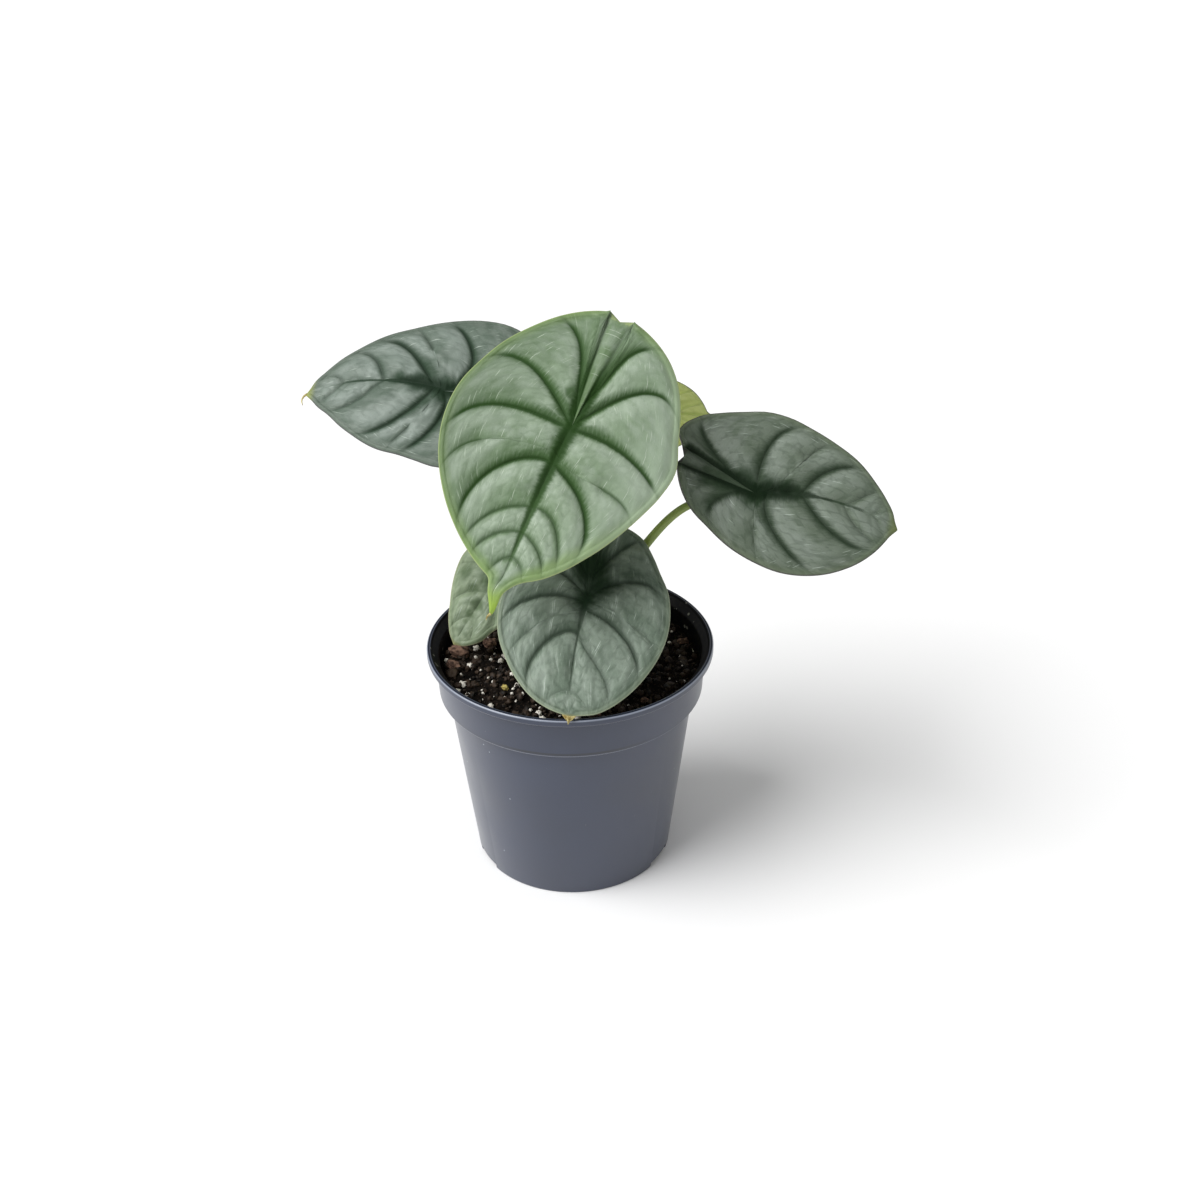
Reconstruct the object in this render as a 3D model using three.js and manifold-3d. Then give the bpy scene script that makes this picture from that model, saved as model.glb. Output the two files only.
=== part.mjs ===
// A young silver dragon alocasia in a 12 cm nursery pot: the pot, its soil with perlite and bark,
// the short stem in the middle, and six leaves, each a petiole and a peltate blade with a quilted face.
// Millimetres, +Z up. The origin is the centre of the pot's base, on the surface that it stands on.
// -Y is the front, where the pale new leaf hangs.

import * as THREE from 'three';
import { mergeVertices } from 'three/addons/utils/BufferGeometryUtils.js';
import Module from 'manifold-3d';

const wasm = await Module();
wasm.setup();

// Pot: a thin plastic pot with a collar and a lip
const POT_HEIGHT = 101.4;
const RIM_RADIUS = 60;
const LIP_HEIGHT = 3.2;
const LIP_WIDTH = 2.1;
const COLLAR_RADIUS = 56.6;
const COLLAR_FOOT_RADIUS = 55.8;
const COLLAR_FOOT_Z = 81.2;
const WALL_TOP_RADIUS = 52;
const WALL_TOP_Z = 79.2;
const BASE_RADIUS = 42.7;
const WALL = 1.5;
const FOOT_RING_WIDTH = 3.2;
const FOOT_HEIGHT = 2.4;
const BASE_DISC_RADIUS = 25;
const DRAIN_HOLE_RADIUS = 3.5;
const DRAIN_HOLES = 8;
const DRAIN_CIRCLE_RADIUS = 33;
const NOTCH_ANGLES = [-152, -28, 90];
const NOTCH_WIDTH_ANGLE = 20;
const POT_SIDES = 48;

// Soil: it fills the pot to 11 mm below the rim
const FIT_GAP = 0.3;
const SOIL_Z = 90;
const SOIL_SIDES = 40;
const SOIL_RINGS = [52, 47, 41, 35, 29, 23.5, 18, 12.5, 7];
const PERLITE_GRAINS = 46;
const BARK_CHIPS = 20;

// Stem: the knob that the petioles grow from, mostly in the soil
const STEM_RADIUS = 11.5;
const STEM_TOP_Z = 97;
const STEM_FOOT_Z = 62;
const STEM_FOOT_RADIUS = 5;
const STEM_SIDES = 18;

// Petioles: round stalks, thicker at the foot
const PETIOLE_TOP_RADIUS = 1.55;
const PETIOLE_FOOT_RADIUS = 2.7;
const PETIOLE_TAPER = 1.6;
const PETIOLE_LAST_BEND = 7;
const PETIOLE_SIDES = 8;
const PETIOLE_STEPS = 13;

// Blades
const BLADE_THICKNESS = 0.8;
const QUILT_HEIGHT_PER_WIDTH = 0.12;
const QUILT_LIMIT = 2.4;
const QUILT_ENDS_FROM = 0.78;
const DRIP_TIP_ANGLE = 2.5;
const SWING_REACH = 6;
const ACROSS = [0, 0.07, 0.19, 0.34, 0.5, 0.66, 0.81, 0.92, 1];
const RADIUS_ANGLES = [0, 12, 30, 60, 90, 120, 150];

// Each blade:
// joint      where its petiole joins
// faces      the way that its upper face looks: azimuth from the front, elevation
// heading    of its tip, in degrees from straight down its slope, + to its right
// drip       how far the pointed tip stands out of the outline
// notch      how far the cut between the two basal lobes lies from the joint
// sinus      how many degrees the cut is turned from straight behind the tip
// strip      half the width in degrees of the raised strip between the joint and the cut
// midribBow  how far the midrib bows to the right, half way to the tip
// ridge      height of the strip's middle
// droop      how far the tip, the base and the two sides hang below the flat plane of the blade
// radii      from the joint to the margin, at RADIUS_ANGLES from the tip and at the strip's edge
// A vein has the distance at which it leaves the midrib (behind the joint where negative), the angle
// at which it meets the margin, the angle that it bows, and the share of its length that doesn't show.
const LEAVES = {
  front: {
    joint: [2.5, -7.5, 201.5], faces: [-2, 38], heading: -22.5, drip: 12.5, notch: 47,
    sinus: 0, strip: 6, midribBow: -1.5, ridge: 0.9, rowsPerPanel: 4,
    droop: { tip: 5, base: 7, right: 5, left: 5 },
    rightRadii: [66, 60, 51, 44, 42.7, 44, 48.8, 50.2],
    leftRadii: [66, 63.5, 58.2, 52.4, 48, 45, 46.5, 51],
    rightVeins: [[55, 7, 28], [44, 12, 35], [33, 18, 35], [17, 23, 38], [12, 50, 40, 0.45], [0, 76, 22],
      [-1, 115, 38], [-24, 160, 18]],
    leftVeins: [[55, 7, 35], [44, 14, 35], [35, 20, 40], [14, 27, 38], [7, 48, 28, 0.6], [0, 70, 32],
      [-1, 108, 28], [-14, 152, 12]],
  },
  left: {
    joint: [-49, 25.5, 203], faces: [-12, 56], heading: -87, drip: 4, notch: 34,
    sinus: 0, strip: 6, midribBow: -5, ridge: 0.5, rowsPerPanel: 3,
    droop: { tip: 6, base: 2, right: 5, left: 5 },
    rightRadii: [58, 50, 41, 32.8, 32.3, 35, 37, 36],
    leftRadii: [58, 54.5, 47, 39, 39, 42, 42, 38],
    rightVeins: [[44, 8, 28], [30, 9, 20], [5, 30, 14], [2, 62, 14, 0.35], [0, 95, 28], [-8, 140, 28]],
    leftVeins: [[44, 10, 28], [25, 24, 38], [5, 40, 22], [2, 62, 14, 0.45], [0, 100, 16], [-16, 140, 28]],
  },
  right: {
    joint: [75, 4.5, 166.5], faces: [8, 44], heading: 72.5, drip: 1.5, notch: 32,
    sinus: 16.5, strip: 6.5, midribBow: 5, ridge: 0.5, rowsPerPanel: 3,
    droop: { tip: 6, base: 1, right: 4, left: 6 },
    rightRadii: [60, 54.8, 47.2, 38.8, 36.6, 36, 39.9, 34],
    leftRadii: [60, 54.8, 46, 32.8, 24.6, 24, 28, 33.5],
    rightVeins: [[50, 8, 28], [36, 16, 18], [19, 26, 28], [10, 48, 28, 0.5], [0, 66, 28], [-7, 135, -4]],
    leftVeins: [[50, 6, 28], [38, 9, 28], [19, 12, 22], [1, 43, 12], [0, 80, 28, 0.4], [-4, 130, 25]],
  },
  low: {
    joint: [7.5, -20, 132.5], faces: [0, 55], heading: -8, drip: 4, notch: 34,
    sinus: 0, strip: 6, midribBow: -1.5, ridge: 0.5, rowsPerPanel: 3,
    droop: { tip: 1, base: 2, right: 4, left: 4 },
    rightRadii: [50.5, 49, 44, 37.5, 33.8, 32.3, 35.5, 37],
    leftRadii: [50.5, 48.8, 44.4, 37.4, 34.2, 33, 34, 36],
    rightVeins: [[40, 8, 28], [21, 16, 26], [5, 38, 16], [2, 66, 28, 0.45], [0, 106, 36], [-10, 148, 28]],
    leftVeins: [[37, 12, 35], [10, 25, 30], [6, 48, 28, 0.5], [2, 73, 28], [0, 110, 28], [-10, 148, 28]],
  },
  small: {
    joint: [-30.5, 10.5, 125.5], faces: [-14, 34], heading: -27, drip: 1, notch: 20,
    sinus: 0, strip: 7, midribBow: 0, ridge: 0.3, rowsPerPanel: 3,
    droop: { tip: 2, base: 1, right: 2, left: 3 },
    rightRadii: [33.5, 31, 22.9, 18.5, 18.5, 19.5, 22, 22],
    leftRadii: [33.5, 29.5, 22, 18, 18, 18.6, 21, 22],
    rightVeins: [[20, 10, 28], [8, 26, 28], [0, 75, 28], [-6, 140, 25]],
    leftVeins: [[20, 10, 28], [8, 26, 28], [0, 75, 28], [-6, 140, 25]],
  },
  back: {
    joint: [30, 62.5, 177.5], faces: [172, 24], heading: -93, drip: 3, notch: 20,
    sinus: 0, strip: 7, midribBow: 0, ridge: 0.3, rowsPerPanel: 3,
    droop: { tip: 2, base: 1, right: 3, left: 2 },
    rightRadii: [30, 28, 26.5, 24, 22, 21, 22, 22],
    leftRadii: [30, 29.5, 29, 27, 23, 21, 22, 22],
    rightVeins: [[17, 14, 28], [8, 32, 28], [0, 78, 28], [-6, 140, 25]],
    leftVeins: [[17, 14, 28], [8, 32, 28], [0, 78, 28], [-6, 140, 25]],
  },
};

// Petiole paths, from the foot in the stem up to the last bend under the blade
const PETIOLE_PATHS = {
  front: [[0.5, 2, 86], [1, 7, 112], [3.5, 16.5, 148], [4.5, 15.5, 180]],
  left: [[-6, 5, 86], [-11, 16, 113], [-19, 29, 146], [-34, 36, 179]],
  right: [[7, -1, 86], [14, 2.5, 110], [31.3, 7.5, 141.5], [49.3, 8.5, 159.5]],
  low: [[1, -6.8, 86], [3, -9.5, 103], [6, -14.5, 122]],
  small: [[-7, -3, 86], [-12, 3, 101], [-22, 12.5, 116]],
  back: [[2.2, 9.2, 86], [6, 18, 115], [14, 38, 150]],
};

// Colours of the real pieces, as they look in even light
const COLOURS = {
  pot: 0x4f5868, soil: 0x1d1613, stem: 0x7d8a52, petiole: 0x7d9140,
  front: 0xa5b9a0, left: 0x96a59e, right: 0x6e8273, low: 0x91a596, small: 0x9aa890, back: 0x96a55a,
};

function material(colour, roughness) {
  return new THREE.MeshStandardMaterial({ color: colour, roughness, metalness: 0 });
}

// A repeatable random draw
function seededRandom(seed) {
  let state = seed;
  return () => {
    state = (state * 16807) % 2147483647;
    return state / 2147483647;
  };
}

// Booleans

function solidOf(geometry) {
  const bare = geometry.clone();
  bare.deleteAttribute('normal');
  bare.deleteAttribute('uv');
  const merged = mergeVertices(bare, 1e-4);
  return new wasm.Manifold(new wasm.Mesh({
    numProp: 3,
    vertProperties: new Float32Array(merged.attributes.position.array),
    triVerts: new Uint32Array(merged.index.array),
  }));
}

function geometryOf(solid) {
  const mesh = solid.getMesh();
  const geometry = new THREE.BufferGeometry();
  geometry.setAttribute('position', new THREE.BufferAttribute(new Float32Array(mesh.vertProperties), 3));
  geometry.setIndex(new THREE.BufferAttribute(new Uint32Array(mesh.triVerts), 1));
  return geometry;
}

// A body turned round Z, from a closed profile of [radius, z]
function turned(profile, sides) {
  const points = profile.map(([r, z]) => new THREE.Vector2(r, z));
  return new THREE.LatheGeometry(points, sides).rotateX(Math.PI / 2);
}

// Pot

function wallRadiusAt(z) {
  return BASE_RADIUS + ((WALL_TOP_RADIUS - BASE_RADIUS) * z) / WALL_TOP_Z;
}

function potInside() {
  const floorZ = FOOT_HEIGHT + WALL;
  return [
    [wallRadiusAt(floorZ) - WALL, floorZ],
    [WALL_TOP_RADIUS - WALL, WALL_TOP_Z + 0.6],
    [COLLAR_FOOT_RADIUS - WALL, COLLAR_FOOT_Z + 1.2],
    [COLLAR_RADIUS - WALL, POT_HEIGHT - LIP_HEIGHT - 0.6],
    [RIM_RADIUS - LIP_WIDTH, POT_HEIGHT - 1],
  ];
}

function potProfile() {
  const lipZ = POT_HEIGHT - LIP_HEIGHT;
  const floorZ = FOOT_HEIGHT + WALL;
  return [
    [0, 0], [BASE_DISC_RADIUS, 0], [BASE_DISC_RADIUS + 2, FOOT_HEIGHT],
    [BASE_RADIUS - FOOT_RING_WIDTH, FOOT_HEIGHT], [BASE_RADIUS - FOOT_RING_WIDTH, 0],
    [BASE_RADIUS, 0], [WALL_TOP_RADIUS, WALL_TOP_Z], [COLLAR_FOOT_RADIUS, COLLAR_FOOT_Z],
    [COLLAR_RADIUS, lipZ - 0.6], [RIM_RADIUS - 0.6, lipZ], [RIM_RADIUS, lipZ + 0.6],
    [RIM_RADIUS, POT_HEIGHT - 0.5], [RIM_RADIUS - 0.5, POT_HEIGHT],
    [RIM_RADIUS - LIP_WIDTH + 0.3, POT_HEIGHT],
    ...potInside().reverse(),
    [0, floorZ],
  ];
}

// One of the gaps in the foot ring that let water run out
function footNotch(angle) {
  const half = THREE.MathUtils.degToRad(NOTCH_WIDTH_ANGLE / 2);
  const middle = THREE.MathUtils.degToRad(angle);
  const inner = BASE_RADIUS - FOOT_RING_WIDTH - 1;
  const outer = BASE_RADIUS + 3;
  const shape = new THREE.Shape();
  shape.absarc(0, 0, outer, middle - half, middle + half, false);
  shape.absarc(0, 0, inner, middle + half, middle - half, true);
  shape.closePath();
  const block = new THREE.ExtrudeGeometry(shape, {
    depth: FOOT_HEIGHT + 1, bevelEnabled: false, curveSegments: 4,
  });
  return block.translate(0, 0, -1);
}

function drainHole(index) {
  const angle = ((index + 0.5) * 2 * Math.PI) / DRAIN_HOLES;
  const hole = new THREE.CylinderGeometry(DRAIN_HOLE_RADIUS, DRAIN_HOLE_RADIUS, 8, 8).rotateX(Math.PI / 2);
  return hole.translate(DRAIN_CIRCLE_RADIUS * Math.cos(angle), DRAIN_CIRCLE_RADIUS * Math.sin(angle), 3);
}

function potGeometry() {
  let pot = solidOf(turned(potProfile(), POT_SIDES));
  for (const angle of NOTCH_ANGLES) {
    pot = pot.subtract(solidOf(footNotch(angle)));
  }
  for (let i = 0; i < DRAIN_HOLES; i += 1) {
    pot = pot.subtract(solidOf(drainHole(i)));
  }
  return geometryOf(pot);
}

// Soil

function soilHeight(x, y) {
  const broad = 1.1 * Math.sin(0.11 * x + 0.7) * Math.cos(0.13 * y - 0.4);
  const fine = 0.5 * Math.sin(0.33 * x + 0.17 * y) + 0.4 * Math.cos(0.36 * y - 0.2 * x);
  return SOIL_Z + broad + fine;
}

function soilBody() {
  const inside = potInside();
  const edge = COLLAR_RADIUS - WALL - FIT_GAP - 0.5;
  const profile = [
    [0, inside[0][1] + FIT_GAP],
    [inside[0][0] - FIT_GAP, inside[0][1] + FIT_GAP],
    [inside[1][0] - FIT_GAP, inside[1][1]],
    [inside[2][0] - FIT_GAP, inside[2][1] + 0.4],
    [edge, SOIL_Z - 3],
    ...SOIL_RINGS.map((r) => [r, SOIL_Z]),
    [0, SOIL_Z],
  ];
  const body = turned(profile, SOIL_SIDES);
  const place = body.attributes.position;
  for (let i = 0; i < place.count; i += 1) {
    if (Math.abs(place.getZ(i) - SOIL_Z) < 0.01) {
      place.setZ(i, soilHeight(place.getX(i), place.getY(i)));
    }
  }
  return body;
}

// A spot on the soil between the stem and the wall
function soilSpot(draw) {
  const radius = 15 + 36 * Math.sqrt(draw());
  const angle = 2 * Math.PI * draw();
  return [radius * Math.cos(angle), radius * Math.sin(angle)];
}

function perliteGrain(draw) {
  const size = 1 + 1.2 * draw();
  const [x, y] = soilSpot(draw);
  const grain = new THREE.OctahedronGeometry(size, 0);
  grain.scale(1, 0.8 + 0.4 * draw(), 0.75 + 0.4 * draw());
  grain.rotateZ(6.28 * draw());
  return grain.translate(x, y, soilHeight(x, y) + 0.1 * size);
}

function barkChip(draw) {
  const length = 3.5 + 4.5 * draw();
  const width = length * (0.45 + 0.3 * draw());
  const [x, y] = soilSpot(draw);
  const chip = new THREE.CylinderGeometry(width * 0.42, width * 0.55, length, 5, 1);
  chip.rotateX(Math.PI / 2 + 0.5 * (draw() - 0.5));
  chip.scale(1, 1, 0.55);
  chip.rotateZ(6.28 * draw());
  return chip.rotateX(0.5 * (draw() - 0.5)).translate(x, y, soilHeight(x, y) + 0.02 * length);
}

function soilSolid() {
  const draw = seededRandom(2207);
  let soil = solidOf(soilBody());
  for (let i = 0; i < BARK_CHIPS; i += 1) {
    soil = soil.add(solidOf(barkChip(draw)));
  }
  for (let i = 0; i < PERLITE_GRAINS; i += 1) {
    soil = soil.add(solidOf(perliteGrain(draw)));
  }
  return soil;
}

// Stem

function stemBody(extra) {
  const foot = STEM_FOOT_Z - extra;
  const top = STEM_TOP_Z + extra;
  return turned([
    [0, foot], [STEM_FOOT_RADIUS + extra, foot], [STEM_FOOT_RADIUS + 3.5 + extra, STEM_FOOT_Z + 7],
    [STEM_RADIUS - 1 + extra, STEM_TOP_Z - 17], [STEM_RADIUS + extra, STEM_TOP_Z - 8],
    [STEM_RADIUS - 0.8 + extra, STEM_TOP_Z - 3], [STEM_RADIUS - 3.5 + extra, top - 0.8], [0, top],
  ], STEM_SIDES);
}

// Blades

function smoothThrough(xs, ys, x) {
  const last = xs.length - 1;
  let i = 0;
  while (i < last - 1 && x >= xs[i + 1]) {
    i += 1;
  }
  const slope = (k) => {
    const a = Math.max(k - 1, 0);
    const b = Math.min(k + 1, last);
    return (ys[b] - ys[a]) / (xs[b] - xs[a]);
  };
  const h = xs[i + 1] - xs[i];
  const t = Math.min(Math.max((x - xs[i]) / h, 0), 1);
  return (1 + 2 * t) * (1 - t) ** 2 * ys[i] + t * (1 - t) ** 2 * h * slope(i)
    + t * t * (3 - 2 * t) * ys[i + 1] - t * t * (1 - t) * h * slope(i + 1);
}

// The angle from the tip to the edge of the sinus strip, on the right (side 1) or left (side -1)
function sweep(leaf, side) {
  return 180 - side * leaf.sinus - leaf.strip;
}

function marginRadius(leaf, side, angle) {
  const radii = side > 0 ? leaf.rightRadii : leaf.leftRadii;
  const base = smoothThrough([...RADIUS_ANGLES, sweep(leaf, side)], radii, angle);
  return base + leaf.drip * Math.exp(-angle / DRIP_TIP_ANGLE);
}

// A point on the midrib, or behind the joint on the edge of the sinus strip
function axisPoint(leaf, side, distance) {
  const length = leaf.rightRadii[0] + leaf.drip;
  if (distance >= 0) {
    return new THREE.Vector2(distance, side * leaf.midribBow * Math.sin((Math.PI * distance) / length));
  }
  const angle = THREE.MathUtils.degToRad(sweep(leaf, side));
  return new THREE.Vector2(-distance * Math.cos(angle), -distance * Math.sin(angle));
}

// A point on the row that leaves the midrib at a distance and bows out to the margin. Near the midrib
// it swings over to `joined`, the distance at which the rows of both sides meet there.
function rowPoint(leaf, side, [distance, angle, bow], across, joined = distance) {
  const start = axisPoint(leaf, side, distance);
  const swing = axisPoint(leaf, side, joined).sub(start);
  const turn = THREE.MathUtils.degToRad(angle);
  const radius = marginRadius(leaf, side, angle);
  const end = new THREE.Vector2(radius * Math.cos(turn), radius * Math.sin(turn));
  const chord = end.clone().sub(start);
  const lift = 0.5 * Math.tan(THREE.MathUtils.degToRad(bow));
  const outward = new THREE.Vector2(-chord.y, chord.x);
  const bend = start.clone().addScaledVector(chord, 0.5).addScaledVector(outward, lift);
  return start.multiplyScalar((1 - across) ** 2)
    .addScaledVector(bend, 2 * across * (1 - across))
    .addScaledVector(end, across * across)
    .addScaledVector(swing, Math.exp((-across * chord.length()) / SWING_REACH) * (1 - across));
}

function step(low, high, x) {
  return THREE.MathUtils.smoothstep(x, low, high);
}

// How far a blade's middle plane lies from its flat plane, before the quilting
function droopHeight(leaf, u, v) {
  const along = u > 0 ? leaf.droop.tip * (u / (leaf.rightRadii[0] + leaf.drip)) ** 2
    : leaf.droop.base * (u / leaf.notch) ** 2;
  const aside = v > 0 ? leaf.droop.right * (v / leaf.rightRadii[4]) ** 2
    : leaf.droop.left * (v / leaf.leftRadii[4]) ** 2;
  return -along - aside;
}

// The quilting: a panel domes up between two sunken veins, and lies flat at the midrib and margin
function quiltHeight(leaf, side, veins, panel, phase, across) {
  const [before, after] = [veins[panel], veins[panel + 1]];
  const width = rowPoint(leaf, side, before, across).distanceTo(rowPoint(leaf, side, after, across));
  const shown = (vein) => (vein[3] ? step(vein[3] - 0.12, vein[3] + 0.12, across) : 1);
  const dome = 1 - shown(before) * (1 - phase) ** 3 - shown(after) * phase ** 3;
  const nearMidrib = 1 - Math.exp(-across * 9);
  const nearMargin = 1 - step(QUILT_ENDS_FROM, 1, across);
  return Math.min(QUILT_HEIGHT_PER_WIDTH * width, QUILT_LIMIT) * dome * nearMidrib * nearMargin;
}

function fullVeins(leaf, side) {
  const end = sweep(leaf, side);
  const veins = side > 0 ? leaf.rightVeins : leaf.leftVeins;
  return [
    [leaf.rightRadii[0] + leaf.drip, 0, 0], ...veins,
    [-marginRadius(leaf, side, end), end, 0],
  ];
}

// The rows of a blade, from its tip to its sinus. Each runs from the left margin to the right one.
function bladeRows(leaf) {
  const veins = { 1: fullVeins(leaf, 1), '-1': fullVeins(leaf, -1) };
  const panels = veins[1].length - 1;
  const count = panels * leaf.rowsPerPanel;
  const rows = [];
  for (let i = 0; i <= count; i += 1) {
    const panel = Math.min(Math.floor(i / leaf.rowsPerPanel), panels - 1);
    const phase = i / leaf.rowsPerPanel - panel;
    const between = (side, k) => {
      const [before, after] = [veins[side][panel], veins[side][panel + 1]];
      return before[k] + phase * (after[k] - before[k]);
    };
    const mean = (between(1, 0) + between(-1, 0)) / 2;
    const half = (side) => {
      const row = [0, 1, 2].map((k) => between(side, k));
      const joined = mean >= 0 ? mean : row[0];
      return ACROSS.map((across) => {
        const flat = rowPoint(leaf, side, row, across, joined);
        const height = quiltHeight(leaf, side, veins[side], panel, phase, across);
        return [flat.x, side * flat.y, height + droopHeight(leaf, flat.x, side * flat.y)];
      });
    };
    const left = half(-1);
    const right = half(1);
    const middle = stripMiddle(leaf, left[0], right[0], i === count);
    rows.push([...left.reverse(), middle, ...right]);
  }
  return rows;
}

// The middle of the sinus strip: a low ridge that ends at the notch
function stripMiddle(leaf, left, right, isLast) {
  const middle = [0, 1, 2].map((k) => (left[k] + right[k]) / 2);
  const reach = Math.hypot(middle[0], middle[1]);
  if (middle[0] >= 0) {
    return left;
  }
  if (isLast) {
    const shrink = leaf.notch / reach;
    return [middle[0] * shrink, middle[1] * shrink, middle[2]];
  }
  return [middle[0], middle[1], middle[2] + leaf.ridge * Math.min(reach / 12, 1)];
}

// A closed sheet: the rows' upper face, the same face below it, and a wall along the edge
function sheet(rows, thickness, place) {
  const points = [];
  const known = new Map();
  const indexOf = (p) => {
    const key = p.map((c) => Math.round(c * 500)).join();
    if (!known.has(key)) {
      known.set(key, points.length);
      points.push(p);
    }
    return known.get(key);
  };
  const grid = rows.map((row) => row.map(indexOf));
  const upper = [];
  for (let i = 0; i + 1 < grid.length; i += 1) {
    for (let j = 0; j + 1 < grid[i].length; j += 1) {
      const [a, b, c, d] = [grid[i][j], grid[i][j + 1], grid[i + 1][j + 1], grid[i + 1][j]];
      upper.push([a, b, d], [b, c, d]);
    }
  }
  const faces = upper.filter(([a, b, c]) => a !== b && b !== c && a !== c);
  const edges = new Set(faces.flatMap(([a, b, c]) => [`${a},${b}`, `${b},${c}`, `${c},${a}`]));
  const count = points.length;
  const triangles = [...faces, ...faces.map(([a, b, c]) => [a + count, c + count, b + count])];
  for (const edge of edges) {
    const [a, b] = edge.split(',').map(Number);
    if (!edges.has(`${b},${a}`)) {
      triangles.push([b, a, a + count], [b, a + count, b + count]);
    }
  }
  const corners = [thickness / 2, -thickness / 2].flatMap((offset) => (
    points.map(([u, v, w]) => place(u, v, w + offset))));
  const geometry = new THREE.BufferGeometry();
  geometry.setAttribute('position', new THREE.Float32BufferAttribute(corners.flatMap((p) => p.toArray()), 3));
  geometry.setIndex(triangles.flat());
  return geometry;
}

// The blade's own axes: along the midrib to the tip, to its right, and out of its upper face
function bladeAxes(leaf) {
  const [azimuth, elevation] = leaf.faces.map(THREE.MathUtils.degToRad);
  const face = new THREE.Vector3(
    Math.sin(azimuth) * Math.cos(elevation), -Math.cos(azimuth) * Math.cos(elevation), Math.sin(elevation));
  const level = new THREE.Vector3(-face.y, face.x, 0).normalize();
  const down = new THREE.Vector3().crossVectors(level, face);
  const heading = THREE.MathUtils.degToRad(leaf.heading);
  const tip = down.multiplyScalar(Math.cos(heading)).addScaledVector(level, Math.sin(heading));
  return { tip, aside: new THREE.Vector3().crossVectors(face, tip), face };
}

function bladeGeometry(leaf) {
  const { tip, aside, face } = bladeAxes(leaf);
  const joint = new THREE.Vector3(...leaf.joint);
  const place = (u, v, w) => (
    joint.clone().addScaledVector(tip, u).addScaledVector(aside, v).addScaledVector(face, w));
  return sheet(bladeRows(leaf), BLADE_THICKNESS, place);
}

// Petioles

// The path ends close under the blade, where it has turned towards it
function petioleCurve(name) {
  const leaf = LEAVES[name];
  const { face } = bladeAxes(leaf);
  const joint = new THREE.Vector3(...leaf.joint);
  const points = PETIOLE_PATHS[name].map((p) => new THREE.Vector3(...p));
  const before = points[points.length - 1].clone().sub(joint).normalize();
  const under = face.clone().multiplyScalar(-1).add(before).normalize();
  const slant = Math.sin(under.angleTo(face.clone().negate()));
  const clearance = BLADE_THICKNESS / 2 + FIT_GAP + PETIOLE_TOP_RADIUS * slant;
  const top = joint.clone().addScaledVector(face, -clearance);
  points.push(top.clone().addScaledVector(under, PETIOLE_LAST_BEND), top);
  return new THREE.CatmullRomCurve3(points, false, 'centripetal');
}

function petioleGeometry(name, extra) {
  const curve = petioleCurve(name);
  const frames = curve.computeFrenetFrames(PETIOLE_STEPS);
  const positions = [];
  for (let i = 0; i <= PETIOLE_STEPS; i += 1) {
    const t = i / PETIOLE_STEPS;
    const centre = curve.getPointAt(t);
    if (i === 0) {
      centre.addScaledVector(frames.tangents[0], -extra);
    }
    const swelling = (PETIOLE_FOOT_RADIUS - PETIOLE_TOP_RADIUS) * (1 - t) ** PETIOLE_TAPER;
    const radius = extra + PETIOLE_TOP_RADIUS + swelling;
    for (let j = 0; j < PETIOLE_SIDES; j += 1) {
      const angle = (2 * Math.PI * j) / PETIOLE_SIDES;
      const point = centre.clone()
        .addScaledVector(frames.normals[i], radius * Math.cos(angle))
        .addScaledVector(frames.binormals[i], radius * Math.sin(angle));
      positions.push(...point.toArray());
    }
  }
  const index = [];
  const last = PETIOLE_STEPS * PETIOLE_SIDES;
  for (let j = 0; j < PETIOLE_SIDES; j += 1) {
    const next = (j + 1) % PETIOLE_SIDES;
    for (let i = 0; i < PETIOLE_STEPS; i += 1) {
      const low = i * PETIOLE_SIDES;
      const high = low + PETIOLE_SIDES;
      index.push(low + j, low + next, high + next, low + j, high + next, high + j);
    }
    if (j > 0 && next > 0) {
      index.push(0, next, j, last, last + j, last + next);
    }
  }
  const geometry = new THREE.BufferGeometry();
  geometry.setAttribute('position', new THREE.Float32BufferAttribute(positions, 3));
  geometry.setIndex(index);
  return geometry;
}

// The plant in its pot
const part = new THREE.Group();

function add(name, geometry, colour, roughness) {
  const mesh = new THREE.Mesh(geometry, material(colour, roughness));
  mesh.name = name;
  part.add(mesh);
}

const names = Object.keys(LEAVES);
let stem = solidOf(stemBody(0));
let soil = soilSolid().subtract(solidOf(stemBody(FIT_GAP)));
for (const name of names) {
  const hole = solidOf(petioleGeometry(name, FIT_GAP));
  stem = stem.subtract(hole);
  soil = soil.subtract(hole);
}

add('pot', potGeometry(), COLOURS.pot, 0.55);
add('soil', geometryOf(soil), COLOURS.soil, 0.95);
add('stem', geometryOf(stem), COLOURS.stem, 0.7);
for (const name of names) {
  add(`petiole_${name}`, petioleGeometry(name, 0), COLOURS.petiole, 0.5);
  add(`blade_${name}`, bladeGeometry(LEAVES[name]), COLOURS[name], 0.45);
}

export default part;
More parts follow.
